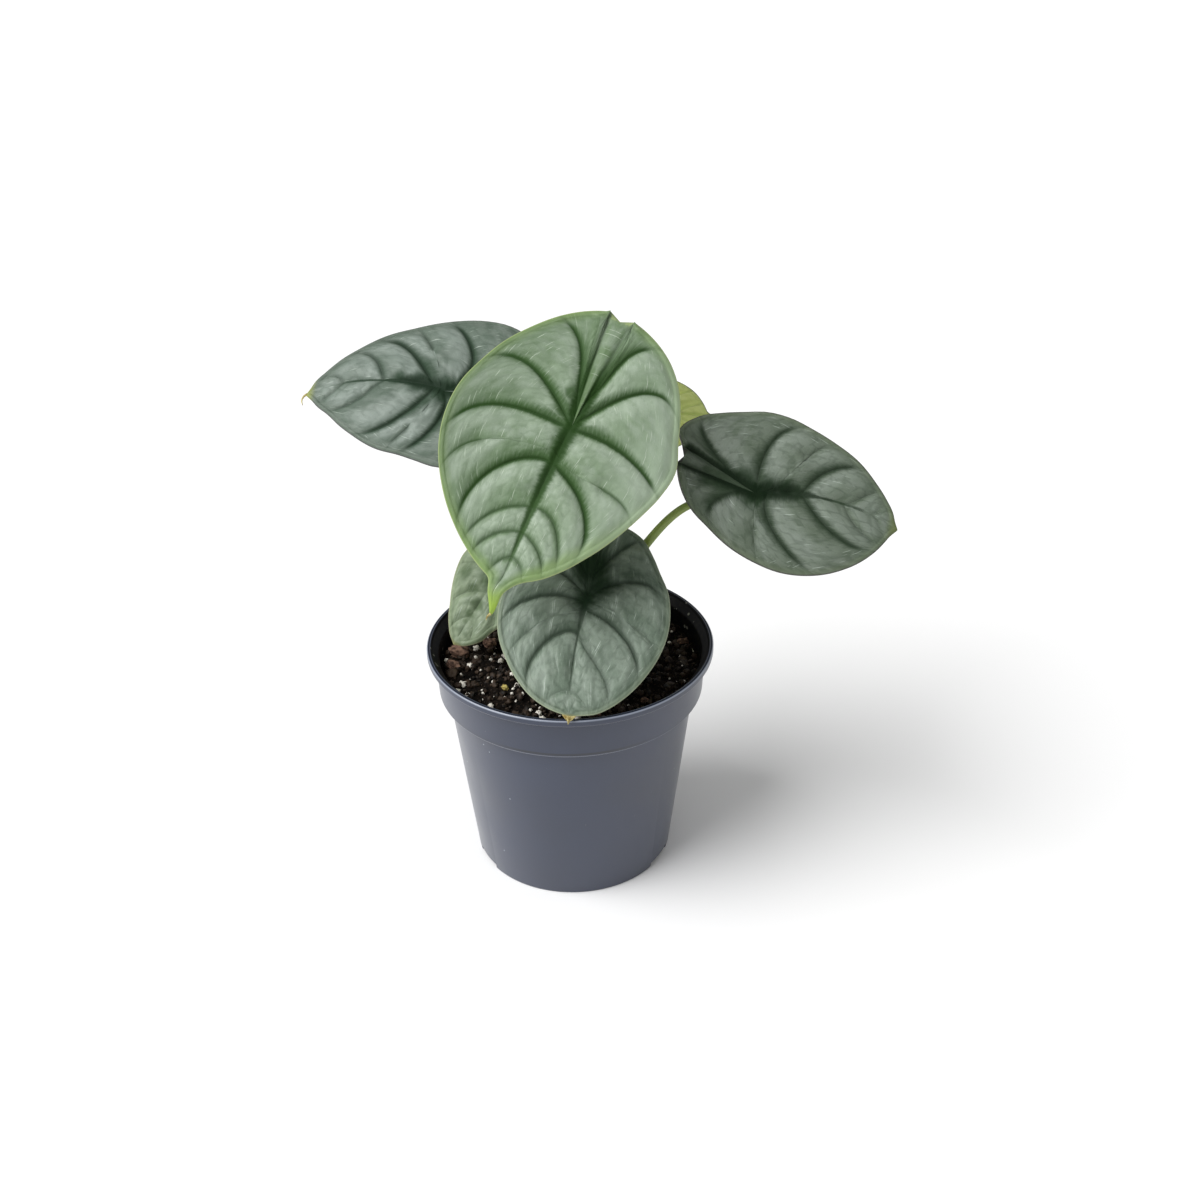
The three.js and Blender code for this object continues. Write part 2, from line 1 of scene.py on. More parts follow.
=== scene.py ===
# A young silver dragon alocasia in its nursery pot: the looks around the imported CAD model.
# Sizes are in millimetres and angles in degrees, and sizes become metres where objects are made.
import math
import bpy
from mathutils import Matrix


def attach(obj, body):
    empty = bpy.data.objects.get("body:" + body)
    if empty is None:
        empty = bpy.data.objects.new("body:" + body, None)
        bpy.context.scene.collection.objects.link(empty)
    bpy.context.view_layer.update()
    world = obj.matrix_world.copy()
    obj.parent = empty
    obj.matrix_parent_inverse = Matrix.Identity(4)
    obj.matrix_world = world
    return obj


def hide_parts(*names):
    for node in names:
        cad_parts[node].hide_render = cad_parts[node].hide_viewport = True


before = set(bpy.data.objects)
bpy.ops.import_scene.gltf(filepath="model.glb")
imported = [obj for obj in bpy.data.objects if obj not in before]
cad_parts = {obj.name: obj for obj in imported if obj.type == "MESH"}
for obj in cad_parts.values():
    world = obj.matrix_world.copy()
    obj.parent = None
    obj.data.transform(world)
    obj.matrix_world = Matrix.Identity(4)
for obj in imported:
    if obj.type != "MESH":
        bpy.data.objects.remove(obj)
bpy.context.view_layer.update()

from types import SimpleNamespace

import bpy
import numpy as np
from mathutils import Euler, Matrix, Vector, noise

MM = 0.001
BODY = "root"
# One turn as the CAD model's draws have it
TURN = 6.28

# The camera of the photograph: it looks along +Y, pitched down, with a slight roll
CAMERA_PLACE = (12.656, -534.96, 432.647)
CAMERA_PITCH = 30.28
CAMERA_ROLL = -0.56
CAMERA_LENS = 45
CAMERA_SENSOR = 36

# The light: a wide soft key from the front left, and an even white surround
KEY_HEADING = 22
KEY_ELEVATION = 47
KEY_SOFTNESS = 50
KEY_POWER = 3.4
SKY_STRENGTH = 0.46
FLOOR_WIDTH = 16000

# Pot
POT_HEIGHT = 101.4
RIM_RADIUS = 60
LIP_HEIGHT = 3.2
LIP_WIDTH = 2.1
COLLAR_RADIUS = 56.6
COLLAR_FOOT_RADIUS = 55.8
COLLAR_FOOT_Z = 81.2
WALL_TOP_RADIUS = 52
WALL_TOP_Z = 79.2
BASE_RADIUS = 42.7
WALL = 1.5
FOOT_RING_WIDTH = 3.2
FOOT_HEIGHT = 2.4
BASE_DISC_RADIUS = 25
DRAIN_HOLE_RADIUS = 3.5
DRAIN_HOLES = 8
DRAIN_CIRCLE_RADIUS = 33
NOTCH_ANGLES = (-152, -28, 90)
NOTCH_WIDTH_ANGLE = 20
POT_SIDES = 240
DRAIN_CUT_TOP = 7
SHARP_FROM_ANGLE = 38
# Painted shade and light on the pot: the painted groove shade's distance from the rim's edge, the painted
# shadow and highlight lines along the step and how far they reach to each side, and the heights between
# which the inside wall's painted shade runs out to the rim
RIM_GROOVE_SHADE = 0.85
STEP_SHADOW_Z = COLLAR_FOOT_Z + 1.1
STEP_HIGHLIGHT_Z = COLLAR_FOOT_Z + 0.1
STEP_LINE_ENDS = (15, 36)
INSIDE_FROM = (80, 83)
INSIDE_WIDENS = (96.5, 99.5)

# Soil
SOIL_Z = 90
SOIL_EDGE_RADIUS = 54.6
PERLITE_GRAINS = 46
BARK_CHIPS = 20
SOIL_SEED = 2207
SOIL_CLEARANCE = 0.3
SOIL_RINGS = 120
SOIL_SIDES = 300
# Loose crumbs, strewn between two distances from the middle
CRUMB_SPREAD = (13, 53)
PERLITE_CRUMBS = dict(count=210, seed=41, small=0.25, large=0.8, rough=0.4)
CLODS = dict(count=1500, seed=77, small=0.4, large=1.9, rough=0.7)
# Pieces on the soil in their places, as (x, y, length)
SEEN_BARK = ((-47.2, 5, 9), (-49, -5, 6.5), (-35, 13.5, 7), (30.3, -30, 3.6), (48.2, 14.7, 5))
SEEN_PERLITE = (
    (-40.3, 8.9, 2.6), (-40.3, 2.2, 2.2), (-42.3, -4.2, 2.8), (-29.6, 0.1, 2.6), (-43.2, -15.4, 1.5),
    (-35.6, -24.1, 1.4), (-31.9, -16.2, 1.6), (-52.3, -0.8, 2.2), (-23.2, -22.8, 1.4), (-23.6, -26, 1.3),
    (-19.1, -27.5, 1.8), (-13.7, -33.4, 1.2), (-11.9, -34.8, 1.4), (-15.9, -36.2, 1.8), (46.3, -1.3, 1.2),
    (41.1, -15, 1), (46.9, -17.2, 1.8), (23.6, -34.2, 1), (42.5, 14.8, 1.6),
)
SEEN_YELLOW_GRAIN = (-26.7, -21.5, 3)

# Stem
STEM_RADIUS = 11.5
STEM_TOP_Z = 97
STEM_FOOT_Z = 62
SHEATH_LENGTH = 24
SHEATH_RINGS = 14
SHEATH_WALL = 0.5

# Petioles
PETIOLE_TOP_RADIUS = 1.55
PETIOLE_FOOT_RADIUS = 2.7
PETIOLE_TAPER = 1.6
PETIOLE_LAST_BEND = 7
PETIOLE_GAP = 0.3
PETIOLE_FLARE = 0.35
PETIOLE_STEPS = 70
TUBE_SIDES = 24

# Blades, as in the CAD model
BLADE_THICKNESS = 0.8
QUILT_HEIGHT_PER_WIDTH = 0.12
QUILT_LIMIT = 2.4
QUILT_ENDS_FROM = 0.78
DRIP_TIP_ANGLE = 2.4
DRIP_TIP_ROUNDNESS = 1.6
SWING_REACH = 6
NECK_PLACE = 69.5
NECK_LENGTH = 5
RADIUS_ANGLES = (0, 6, 12, 20, 30, 45, 60, 75, 90, 105, 120, 135, 150)

# The finer relief of a blade: valleys along the veins, small bulges between a net of fine veins, waves
VEIN_DEPTH = 0.9
VEIN_WIDTH = 1.7
MIDRIB_DEPTH = 1.25
MIDRIB_WIDTH = 2.1
LOOP_DEPTH = 0.16
FAINT_VEIN = 0.3
FAINT_FROM = (0.32, 0.45)
VALLEY_FLOOR = 0.35
NET_ALONG = 0.2
NET_ACROSS = 0.26
NET_DEPTH = 0.22
WAVE_ALONG = 0.14
WAVE_ACROSS = 0.28
WAVE_HEIGHT = 0.45
RIM_ROUNDING = 0.3
EDGE_SHARE = 0.4
EDGE_THINS_OVER = 2.2
JOINT_SHARE = 0.45
# Ribs of the lower face, as (height, half width)
MID_RIB = (0.7, 0.9)
SIDE_RIB = (0.4, 0.6)

# How finely a blade is made here
ROWS_PER_PANEL = 20
ROW_CROWDING = 0.12
INNER_STEPS = 48
COLUMN_CROWDING = 1.25
RIM_STEPS = 12
STRIP_STEPS = 8
# Points closer than this are one
SAME_POINT = 2e-3

# The veins of the two young blades, the same on both sides
SMALL_VEINS = (
    (20, (22.8, 3.2), (26.6, 4.8), 10), (8, (12, 7), (17.5, 10.5), 28), (0, (-1.2, 6), (0.3, 12), 75),
    (-6, (-10.5, 4.3), (-14, 9), 140),
)
BACK_VEINS = (
    (17, (20, 3.6), (23.5, 5.6), 14), (8, (11.5, 7), (17, 11.6), 32), (0, (-1.5, 8), (0.5, 15.5), 78),
    (-6, (-10.5, 4.5), (-14, 9), 140),
)

# Each blade, in its own flat axes: u to the tip, v to its right.
# joint: where it meets its petiole. faces: the azimuth and elevation that its face looks to.
# heading: where its tip points, from straight down. right_radii, left_radii: from the joint to the margin,
# at RADIUS_ANGLES and at the sinus. drip: how far the drip tip reaches past them. notch: from the joint to
# the sinus. sinus, strip: where the strip between them lies, and its half width, in degrees. ridge: its
# height. strip_light: where across it its light ends. rim: the width of the margin. midrib_bow: how far the
# midrib bends. neck: how far the neck above the drip tip leans. droop: how far the ends and sides hang.
# depth, pucker: how strong the veins and the small bulges are. stains: dark patches (u, v, size, strength).
# veins: (distance along the midrib, two points (u, v) that it passes, angle at the margin, hidden share).
BLADE = dict(sinus=0, strip=6, midrib_bow=0, ridge=0.3, rim=2, strip_light=(0.85, 1), neck=0, pucker=1,
             stains=())
LEAVES = {
    "front": dict(
        BLADE, joint=(2.5, -7.5, 201.5), faces=(-2, 38), heading=-22.5, drip=12.5, notch=47,
        midrib_bow=-1.4, ridge=0.5, rim=2.4, depth=1, strip_light=(0.55, 0.85), neck=-1.8,
        droop=dict(tip=5, base=7, right=5, left=5),
        right_radii=(66, 62.7, 59.8, 55.5, 50.7, 45.9, 43.4, 43, 43.2, 41.2, 42, 44.2, 46.5, 49.5),
        left_radii=(66, 65, 63.3, 60.6, 57.6, 54.2, 52, 50, 47.8, 45.1, 44.2, 44.2, 45.9, 50.1),
        right_veins=(
            (55, (57, 3), (59.5, 5), 6), (45, (47.4, 4.7), (52, 9.6), 12),
            (33.5, (36.5, 7.8), (45.3, 13.7), 17), (17.5, (22.5, 11), (34, 20.2), 21.5),
            (14, (17.8, 16), (19.6, 27.6), 54, 0.42), (1.5, (0.6, 11.6), (4.3, 28.5), 73),
            (0, (-12.5, 9), (-24.5, 24), 112), (-12, (-24, 5.6), (-36, 9.8), 155),
        ),
        left_veins=(
            (55, (57.4, 4.4), (60, 6), 6.5), (45, (47.2, 7.6), (52.3, 13.2), 15),
            (35.5, (38, 9.5), (45.5, 17.3), 20.5), (14.5, (20, 14.8), (35, 25.5), 25.5),
            (10, (13.8, 19), (18.6, 31.5), 50, 0.5), (1, (0.5, 14), (4.5, 34.5), 66),
            (0, (-10.5, 13.5), (-17.3, 30), 105), (-6, (-19, 4.7), (-31, 9.8), 150),
        ),
        stains=((-5, -5, 4.5, 1), (-12, -5, 4, 0.9), (0, -1, 4.5, 1), (7, -2, 4, 0.9)),
    ),
    "left": dict(
        BLADE, joint=(-49, 25.5, 203), faces=(-12, 56), heading=-87, drip=1.5, notch=34, midrib_bow=-5.4,
        depth=0.95, pucker=1.5, droop=dict(tip=6, base=2, right=5, left=5),
        right_radii=(58, 54, 48.9, 44.7, 40.4, 35.9, 32.1, 31.2, 32.4, 33.5, 35, 36.2, 37, 36),
        left_radii=(58, 57, 53.7, 50.1, 45.8, 41.5, 38, 37.1, 37.7, 39.5, 41.6, 42.5, 42, 38),
        right_veins=(
            (44, (47, -0.5), (50.5, 3), 5), (29, (32.5, 0.8), (39, 6.1), 9),
            (3, (9.5, 5.7), (21.5, 15.4), 28), (1, (8, 12), (14.3, 19), 51, 0.5),
            (0, (-1.5, 8), (4, 18.8), 60), (-8, (-16, 8), (-22, 17), 128),
        ),
        left_veins=(
            (44, (47, 8), (51.5, 8.6), 8), (24.5, (28.1, 11.4), (34.5, 18.2), 18),
            (4, (10.5, 11.5), (20, 22), 37), (2, (6, 17), (13, 28), 62, 0.45),
            (0, (-9.5, 12), (-6, 25.5), 84), (-16, (-24, 9), (-31, 18), 140),
        ),
        stains=((1, -0.5, 8, 1), (11, -3.5, 6, 1), (19, -6, 4.5, 0.8), (7, 5, 5, 0.8)),
    ),
    "right": dict(
        BLADE, joint=(75, 4.5, 166.5), faces=(8, 44), heading=72.5, drip=1.5, notch=32, sinus=16.5,
        strip=6.5, midrib_bow=4.6, depth=0.65, droop=dict(tip=6, base=1, right=4, left=6),
        right_radii=(59.3, 58.4, 55.5, 51.7, 47.9, 42.4, 39.1, 37.9, 37, 35.9, 36.9, 39.4, 40, 35),
        left_radii=(59.3, 56.9, 54.3, 50.4, 45.2, 38, 32.2, 27.7, 25, 23.6, 23.1, 23.7, 26, 33.5),
        right_veins=(
            (50, (52, 6.8), (54.5, 8), 8), (36.5, (41.5, 7.2), (46.5, 11.2), 14.8),
            (19.5, (23.3, 11.5), (31.5, 18.7), 26), (10, (16, 16), (23, 25), 46, 0.5),
            (1, (0.7, 13), (5, 25.8), 64), (-4, (-15, 10), (-23, 18), 133),
        ),
        left_veins=(
            (50, (52, -0.5), (54.5, 3), 6), (37, (41, 1.5), (47.5, 6), 9),
            (18.5, (25.1, 2.3), (36, 9.2), 12), (1, (6, 8.5), (17, 19), 40), (0, (1, 9), (3, 17), 76, 0.4),
            (-1, (-9, 2), (-16, 8), 122),
        ),
        stains=((-20, 3, 6, 0.9), (-13, 3, 8, 1), (-5, 3, 8, 1), (4, 2.5, 7, 1), (12, 4, 5.5, 0.9)),
    ),
    "low": dict(
        BLADE, joint=(7.5, -20, 132.5), faces=(0, 55), heading=-8, drip=0.8, notch=34, midrib_bow=-1.7,
        depth=0.7, pucker=1.6, droop=dict(tip=1, base=2, right=4, left=4),
        right_radii=(49.2, 49, 48.4, 46.2, 43.1, 39.2, 36.6, 34.8, 33.5, 32.8, 32, 33.5, 36.1, 37),
        left_radii=(49.2, 49, 48.1, 46.4, 43.7, 40.2, 38, 36, 34.2, 33.3, 33, 33.3, 34, 36),
        right_veins=(
            (41, (43, 3.8), (45.5, 6), 8), (20.5, (27, 6.4), (34.8, 12.1), 17),
            (3.5, (9, 10.2), (20, 20.9), 35), (2, (6.5, 15), (12, 24), 62, 0.5),
            (0, (-7, 8.2), (-10.3, 19.5), 93), (-10, (-19, 7), (-26, 13), 148),
        ),
        left_veins=(
            (38, (39.8, 5), (43, 8.8), 13), (10, (14.8, 8.5), (26, 17.2), 23),
            (6, (11, 14), (18.5, 23), 45, 0.5), (1, (-0.5, 10.5), (3.3, 25), 66),
            (0, (-10, 11), (-13, 22), 108), (-10, (-19, 7), (-26, 13), 148),
        ),
        stains=(
            (-14, 0, 13, 0.9), (-7, 5, 11, 0.8), (-12, 15, 12, 0.45), (-11, 26, 8, 0.4), (1, -1, 7, 0.75),
        ),
    ),
    "small": dict(
        BLADE, joint=(-30.5, 10.5, 125.5), faces=(-14, 34), heading=-27, drip=0.6, notch=20, strip=7,
        depth=0.3, droop=dict(tip=2, base=1, right=2, left=3),
        right_radii=(33, 32.3, 30.4, 27.4, 22.6, 20, 18.5, 18.2, 18.5, 18.8, 19.5, 20.8, 22, 22),
        left_radii=(33, 31.5, 29.1, 26.1, 22.9, 20.4, 19.1, 18.6, 18.6, 18.3, 18.6, 19.7, 21, 22),
        right_veins=SMALL_VEINS, left_veins=SMALL_VEINS,
        stains=(
            (4.5, -12.5, 4, 0.9), (9, -6, 4, 0.8), (14, -0.4, 3.5, 1),
            (18.5, -1, 2.6, 0.9), (22.5, -1, 2, 0.7),
        ),
    ),
    "back": dict(
        BLADE, joint=(30, 62.3, 177.5), faces=(172, 24), heading=-93, drip=2, notch=20, strip=7, depth=0.3,
        droop=dict(tip=2, base=1, right=3, left=2),
        right_radii=(30, 29, 28, 27.3, 26.5, 25.3, 24, 22.9, 22, 21.4, 21, 21.4, 22, 22),
        left_radii=(30, 29.8, 29.5, 29.2, 29, 28.2, 27, 25, 23, 21.6, 21, 21.4, 22, 22),
        right_veins=BACK_VEINS, left_veins=BACK_VEINS,
    ),
}

# Dried ends, in the flat axes of their blade: hairs as (u, v, radius), and the scale on the low blade's end
DRY_HAIRS = {
    "front": ((77.6, -0.1, 0.6), (79, -0.9, 0.38), (80.6, -0.9, 0.12)),
    "left": ((58.9, -0.5, 0.55), (60.4, 0.6, 0.42), (60.9, 2.6, 0.3), (60, 4.8, 0.14)),
}
DRY_SCALE_LENGTH = 3.3
DRY_SCALE_WIDTH = 5.6
DRY_SCALE_ROOT = 49.3

# Petiole paths, from the foot in the stem up to the last bend under the blade
PETIOLE_PATHS = {
    "front": ((0.5, 2, 86), (1, 7, 112), (3.5, 16.5, 148), (4.5, 15.5, 180)),
    "left": ((-6, 5, 86), (-11, 16, 113), (-19, 29, 146), (-34, 36, 179)),
    "right": ((7, -1, 86), (14, 2.5, 110), (31.3, 7.5, 141.5), (49.3, 8.5, 159.5)),
    "low": ((1, -6.8, 86), (3, -9.5, 103), (6, -14.5, 122)),
    "small": ((-7, -3, 86), (-12, 3, 101), (-22, 12.5, 116)),
    "back": ((2.2, 9.2, 86), (6, 18, 115), (14, 38, 150)),
}


# Small helpers

def srgb(red, green, blue):
    """A colour given as 0 to 255 screen values, as the linear values that a shader takes."""
    def linear(value):
        share = value / 255
        return share / 12.92 if share <= 0.04045 else ((share + 0.055) / 1.055) ** 2.4
    return (linear(red), linear(green), linear(blue), 1)


def smoothstep(low, high, x):
    share = np.clip((np.asarray(x, float) - low) / (high - low), 0, 1)
    return share * share * (3 - 2 * share)


def polar(radius, angle):
    return radius * math.cos(angle), radius * math.sin(angle)


class Draw:
    """The CAD model's repeatable random draw."""

    def __init__(self, seed):
        self.state = seed

    def __call__(self):
        self.state = (self.state * 16807) % 2147483647
        return self.state / 2147483647


def add_object(name, data):
    piece = bpy.data.objects.new(name, data)
    bpy.context.scene.collection.objects.link(piece)
    return piece


def mesh_object(name, points, faces, attributes=None):
    """An object with a smooth-shaded mesh from points in millimetres."""
    mesh = bpy.data.meshes.new(name)
    mesh.from_pydata([tuple(p) for p in np.asarray(points, float) * MM], [], faces)
    for key, values in (attributes or {}).items():
        layer = mesh.attributes.new(key, "FLOAT", "POINT")
        layer.data.foreach_set("value", np.asarray(values, np.float32))
    mesh.polygons.foreach_set("use_smooth", [True] * len(mesh.polygons))
    mesh.update()
    return add_object(name, mesh)


def bands(rings, sides, first=0):
    """The quads between rings of points that lie one after another."""
    faces = []
    for k in range(rings - 1):
        for j in range(sides):
            a, b = first + k * sides + j, first + k * sides + (j + 1) % sides
            faces.append([a, b, b + sides, a + sides])
    return faces


def closed_skin(upper, count):
    """The faces of a thin body: the upper ones, the same below count points on, and the edge between."""
    edges = {(ring[k - 1], ring[k]) for ring in upper for k in range(len(ring))}
    lower = [[p + count for p in reversed(ring)] for ring in upper]
    return upper + lower + [[b, a, a + count, b + count] for a, b in edges if (b, a) not in edges]


def joined_bodies(bodies):
    """Points and faces of several bodies as one mesh."""
    points, faces = [], []
    for more_points, more_faces in bodies:
        base = len(points)
        points.extend(more_points)
        faces.extend([[p + base for p in face] for face in more_faces])
    return points, faces


def finish_piece(piece, material, slot, *nodes):
    """Gives a piece its material and its body, and hides the CAD nodes that it stands for; slot is not
    used.
    """
    piece.data.materials.append(material)
    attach(piece, BODY)
    if nodes:
        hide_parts(*nodes)
    return piece


# Shader helpers

class Value:
    """A shader value that is written in sums and products like a number."""

    def __init__(self, shader, socket):
        self.shader, self.socket = shader, socket

    def __add__(self, other):
        return self.shader.math("ADD", self, other)

    def __sub__(self, other):
        return self.shader.math("SUBTRACT", self, other)

    def __mul__(self, other):
        return self.shader.math("MULTIPLY", self, other)

    def __truediv__(self, other):
        return self.shader.math("DIVIDE", self, other)

    def __abs__(self):
        return self.shader.math("ABSOLUTE", self)

    def most(self, other):
        return self.shader.math("MAXIMUM", self, other)

    def fade(self, low, high, to_low=0, to_high=1):
        """A smooth change from to_low, where the value is low, to to_high, where it is high."""
        inputs = {"Value": self, "From Min": low, "From Max": high, "To Min": to_low, "To Max": to_high}
        return self.shader.node("ShaderNodeMapRange", 0, inputs, interpolation_type="SMOOTHSTEP")


class Shader:
    """A node material with a Principled surface, built by short calls."""

    def __init__(self, name):
        self.material = bpy.data.materials.new(name)
        self.material.use_nodes = True
        self.tree = self.material.node_tree
        self.tree.nodes.clear()
        self.surface = self.tree.nodes.new("ShaderNodeBsdfPrincipled")
        out = self.tree.nodes.new("ShaderNodeOutputMaterial")
        self.tree.links.new(self.surface.outputs[0], out.inputs["Surface"])

    def finished(self, **settings):
        """The material, with its surface's inputs set."""
        for key, value in settings.items():
            self.put(self.surface.inputs[key.replace("_", " ")], value)
        return self.material

    def put(self, socket, value):
        """Gives a socket a shader value, a number, or a colour of 0 to 255."""
        if isinstance(value, Value):
            self.tree.links.new(value.socket, socket)
        else:
            socket.default_value = srgb(*value) if isinstance(value, tuple) else value

    def node(self, kind, output, inputs, **settings):
        made = self.tree.nodes.new(kind)
        for key, value in settings.items():
            setattr(made, key, value)
        for key, value in inputs.items():
            self.put(made.inputs[key], value)
        return Value(self, made.outputs[output])

    def attributes(self, *names):
        return [self.node("ShaderNodeAttribute", "Fac", {}, attribute_name=name) for name in names]

    def place(self):
        """The place on the object, in metres."""
        return self.node("ShaderNodeTexCoord", "Object", {})

    def vector(self, x, y, z):
        return self.node("ShaderNodeCombineXYZ", 0, {0: x, 1: y, 2: z})

    def math(self, operation, a, b=0):
        return self.node("ShaderNodeMath", 0, {0: a, 1: b}, operation=operation)

    def noise(self, vector, scale=1, detail=3, roughness=0.5):
        inputs = {"Vector": vector, "Scale": scale, "Detail": detail, "Roughness": roughness}
        return self.node("ShaderNodeTexNoise", "Fac", inputs)

    def cells(self, vector, scale):
        inputs = {"Vector": vector, "Scale": scale}
        return self.node("ShaderNodeTexVoronoi", "Distance", inputs, feature="F1")

    def bump(self, height, distance, strength):
        inputs = {"Height": height, "Distance": distance, "Strength": strength}
        return self.node("ShaderNodeBump", 0, inputs)

    def mix(self, share, a, b, blend="MIX"):
        return self.node("ShaderNodeMix", 2, {0: share, 6: a, 7: b}, data_type="RGBA", blend_type=blend)

    def layers(self, colour, *layers):
        """A colour with others laid over it in turn, each given as (share, colour)."""
        for share, over in layers:
            colour = self.mix(share, colour, over)
        return colour


# The surface of a blade, in its own flat axes: u to the tip, v to its right, w out of its face

def smooth_through(xs, ys, x):
    xs, ys, x = np.asarray(xs, float), np.asarray(ys, float), np.asarray(x, float)
    last = len(xs) - 1
    i = np.searchsorted(xs[1:last], x, side="right")
    low = np.maximum(np.arange(last + 1) - 1, 0)
    high = np.minimum(np.arange(last + 1) + 1, last)
    slope = (ys[high] - ys[low]) / (xs[high] - xs[low])
    h = xs[i + 1] - xs[i]
    t = np.clip((x - xs[i]) / h, 0, 1)
    return ((1 + 2 * t) * (1 - t) ** 2 * ys[i] + t * (1 - t) ** 2 * h * slope[i]
            + t * t * (3 - 2 * t) * ys[i + 1] - t * t * (1 - t) * h * slope[i + 1])


def radii_of(leaf, side):
    return leaf["right_radii"] if side > 0 else leaf["left_radii"]


def tip_distance(leaf):
    return leaf["right_radii"][0] + leaf["drip"]


def sweep(leaf, side):
    return 180 - side * leaf["sinus"] - leaf["strip"]


def margin_radius(leaf, side, angle):
    base = smooth_through((*RADIUS_ANGLES, sweep(leaf, side)), radii_of(leaf, side), angle)
    return base + leaf["drip"] * np.exp(-(np.asarray(angle, float) / DRIP_TIP_ANGLE) ** DRIP_TIP_ROUNDNESS)


def margin_point(leaf, side, angle):
    turn = np.radians(angle)
    radius = margin_radius(leaf, side, angle)
    return np.stack([radius * np.cos(turn), radius * np.sin(turn)], axis=-1)


def margin_line(leaf, side):
    return margin_point(leaf, side, np.linspace(0, sweep(leaf, side), 200))


def axis_point(leaf, side, distance):
    """Points on the midrib, or behind the joint on the edge of the sinus strip."""
    distance = np.asarray(distance, float)
    share = np.clip(distance / tip_distance(leaf), 0, 1)
    bow = side * leaf["midrib_bow"] * np.sin(math.pi * share) ** 0.6
    turn = math.radians(sweep(leaf, side))
    ahead = distance >= 0
    return np.stack([np.where(ahead, distance, -distance * math.cos(turn)),
                     np.where(ahead, bow, -distance * math.sin(turn))], axis=-1)


def row_points(leaf, side, rows, across, joined=None):
    """Flat points of rows at shares across: each row is a curve through four points."""
    start = axis_point(leaf, side, rows[:, 0])
    swing = axis_point(leaf, side, rows[:, 0] if joined is None else joined) - start
    end = margin_point(leaf, side, rows[:, 1])
    third = (end - start) / 3
    knots = np.stack([start, start + third + rows[:, 2:4], end - third + rows[:, 4:6], end], axis=1)
    steps = np.linalg.norm(np.diff(knots, axis=1), axis=-1) + 1e-6
    at = np.concatenate([np.zeros((len(rows), 1)), np.cumsum(steps, axis=1)], axis=1)
    length = at[:, -1:]
    at = at / length
    a = np.broadcast_to(across, (len(rows), np.shape(across)[-1]))
    flat = np.zeros((*a.shape, 2))
    for k in range(4):
        weight = np.ones_like(a)
        for other in range(4):
            if other != k:
                weight = weight * (a - at[:, other, None]) / (at[:, k] - at[:, other])[:, None]
        flat += weight[..., None] * knots[:, k][:, None]
    pull = np.exp(-a * length / SWING_REACH) * (1 - a)
    return flat + swing[:, None] * pull[..., None]


def vein_numbers(leaf, side, vein):
    """A vein as numbers: distance, angle, its two middle points from its chord, hidden share, strength."""
    distance, first, second, angle = vein[:4]
    start, end = axis_point(leaf, side, distance), margin_point(leaf, side, angle)
    third = (end - start) / 3
    hidden = vein[4] if len(vein) > 4 else -1
    share = distance / tip_distance(leaf)
    strength = 1 - (1 - FAINT_VEIN) * smoothstep(*FAINT_FROM, share)
    strength = strength * (1 - 0.6 * smoothstep(0.6, 0.8, share))
    strength = FAINT_VEIN if hidden > 0 else float(strength)
    return (distance, angle, *(first - start - third), *(second - end + third), hidden, strength)


def full_veins(leaf, side):
    """A side's veins as numbers, with the tip before them and the top of the sinus after them."""
    end = sweep(leaf, side)
    veins = leaf["right_veins"] if side > 0 else leaf["left_veins"]
    found = [vein_numbers(leaf, side, vein) for vein in veins]
    tip, top = tip_distance(leaf), -float(margin_radius(leaf, side, end))
    return np.array([(tip, 0, 0, 0, 0, 0, -1, 0), *found, (top, end, 0, 0, 0, 0, -1, 0)], float)


def distance_to_line(points, line):
    """The shortest distance from flat points (any shape x 2) to a polyline, and the nearest part of it."""
    a, b = line[:-1], line[1:]
    run = b - a
    square = np.maximum((run ** 2).sum(-1), 1e-12)
    away = points[..., None, :] - a
    t = np.clip((away * run).sum(-1) / square, 0, 1)
    gap = np.linalg.norm(away - t[..., None] * run, axis=-1)
    nearest = gap.argmin(-1)
    return np.take_along_axis(gap, nearest[..., None], -1)[..., 0], nearest


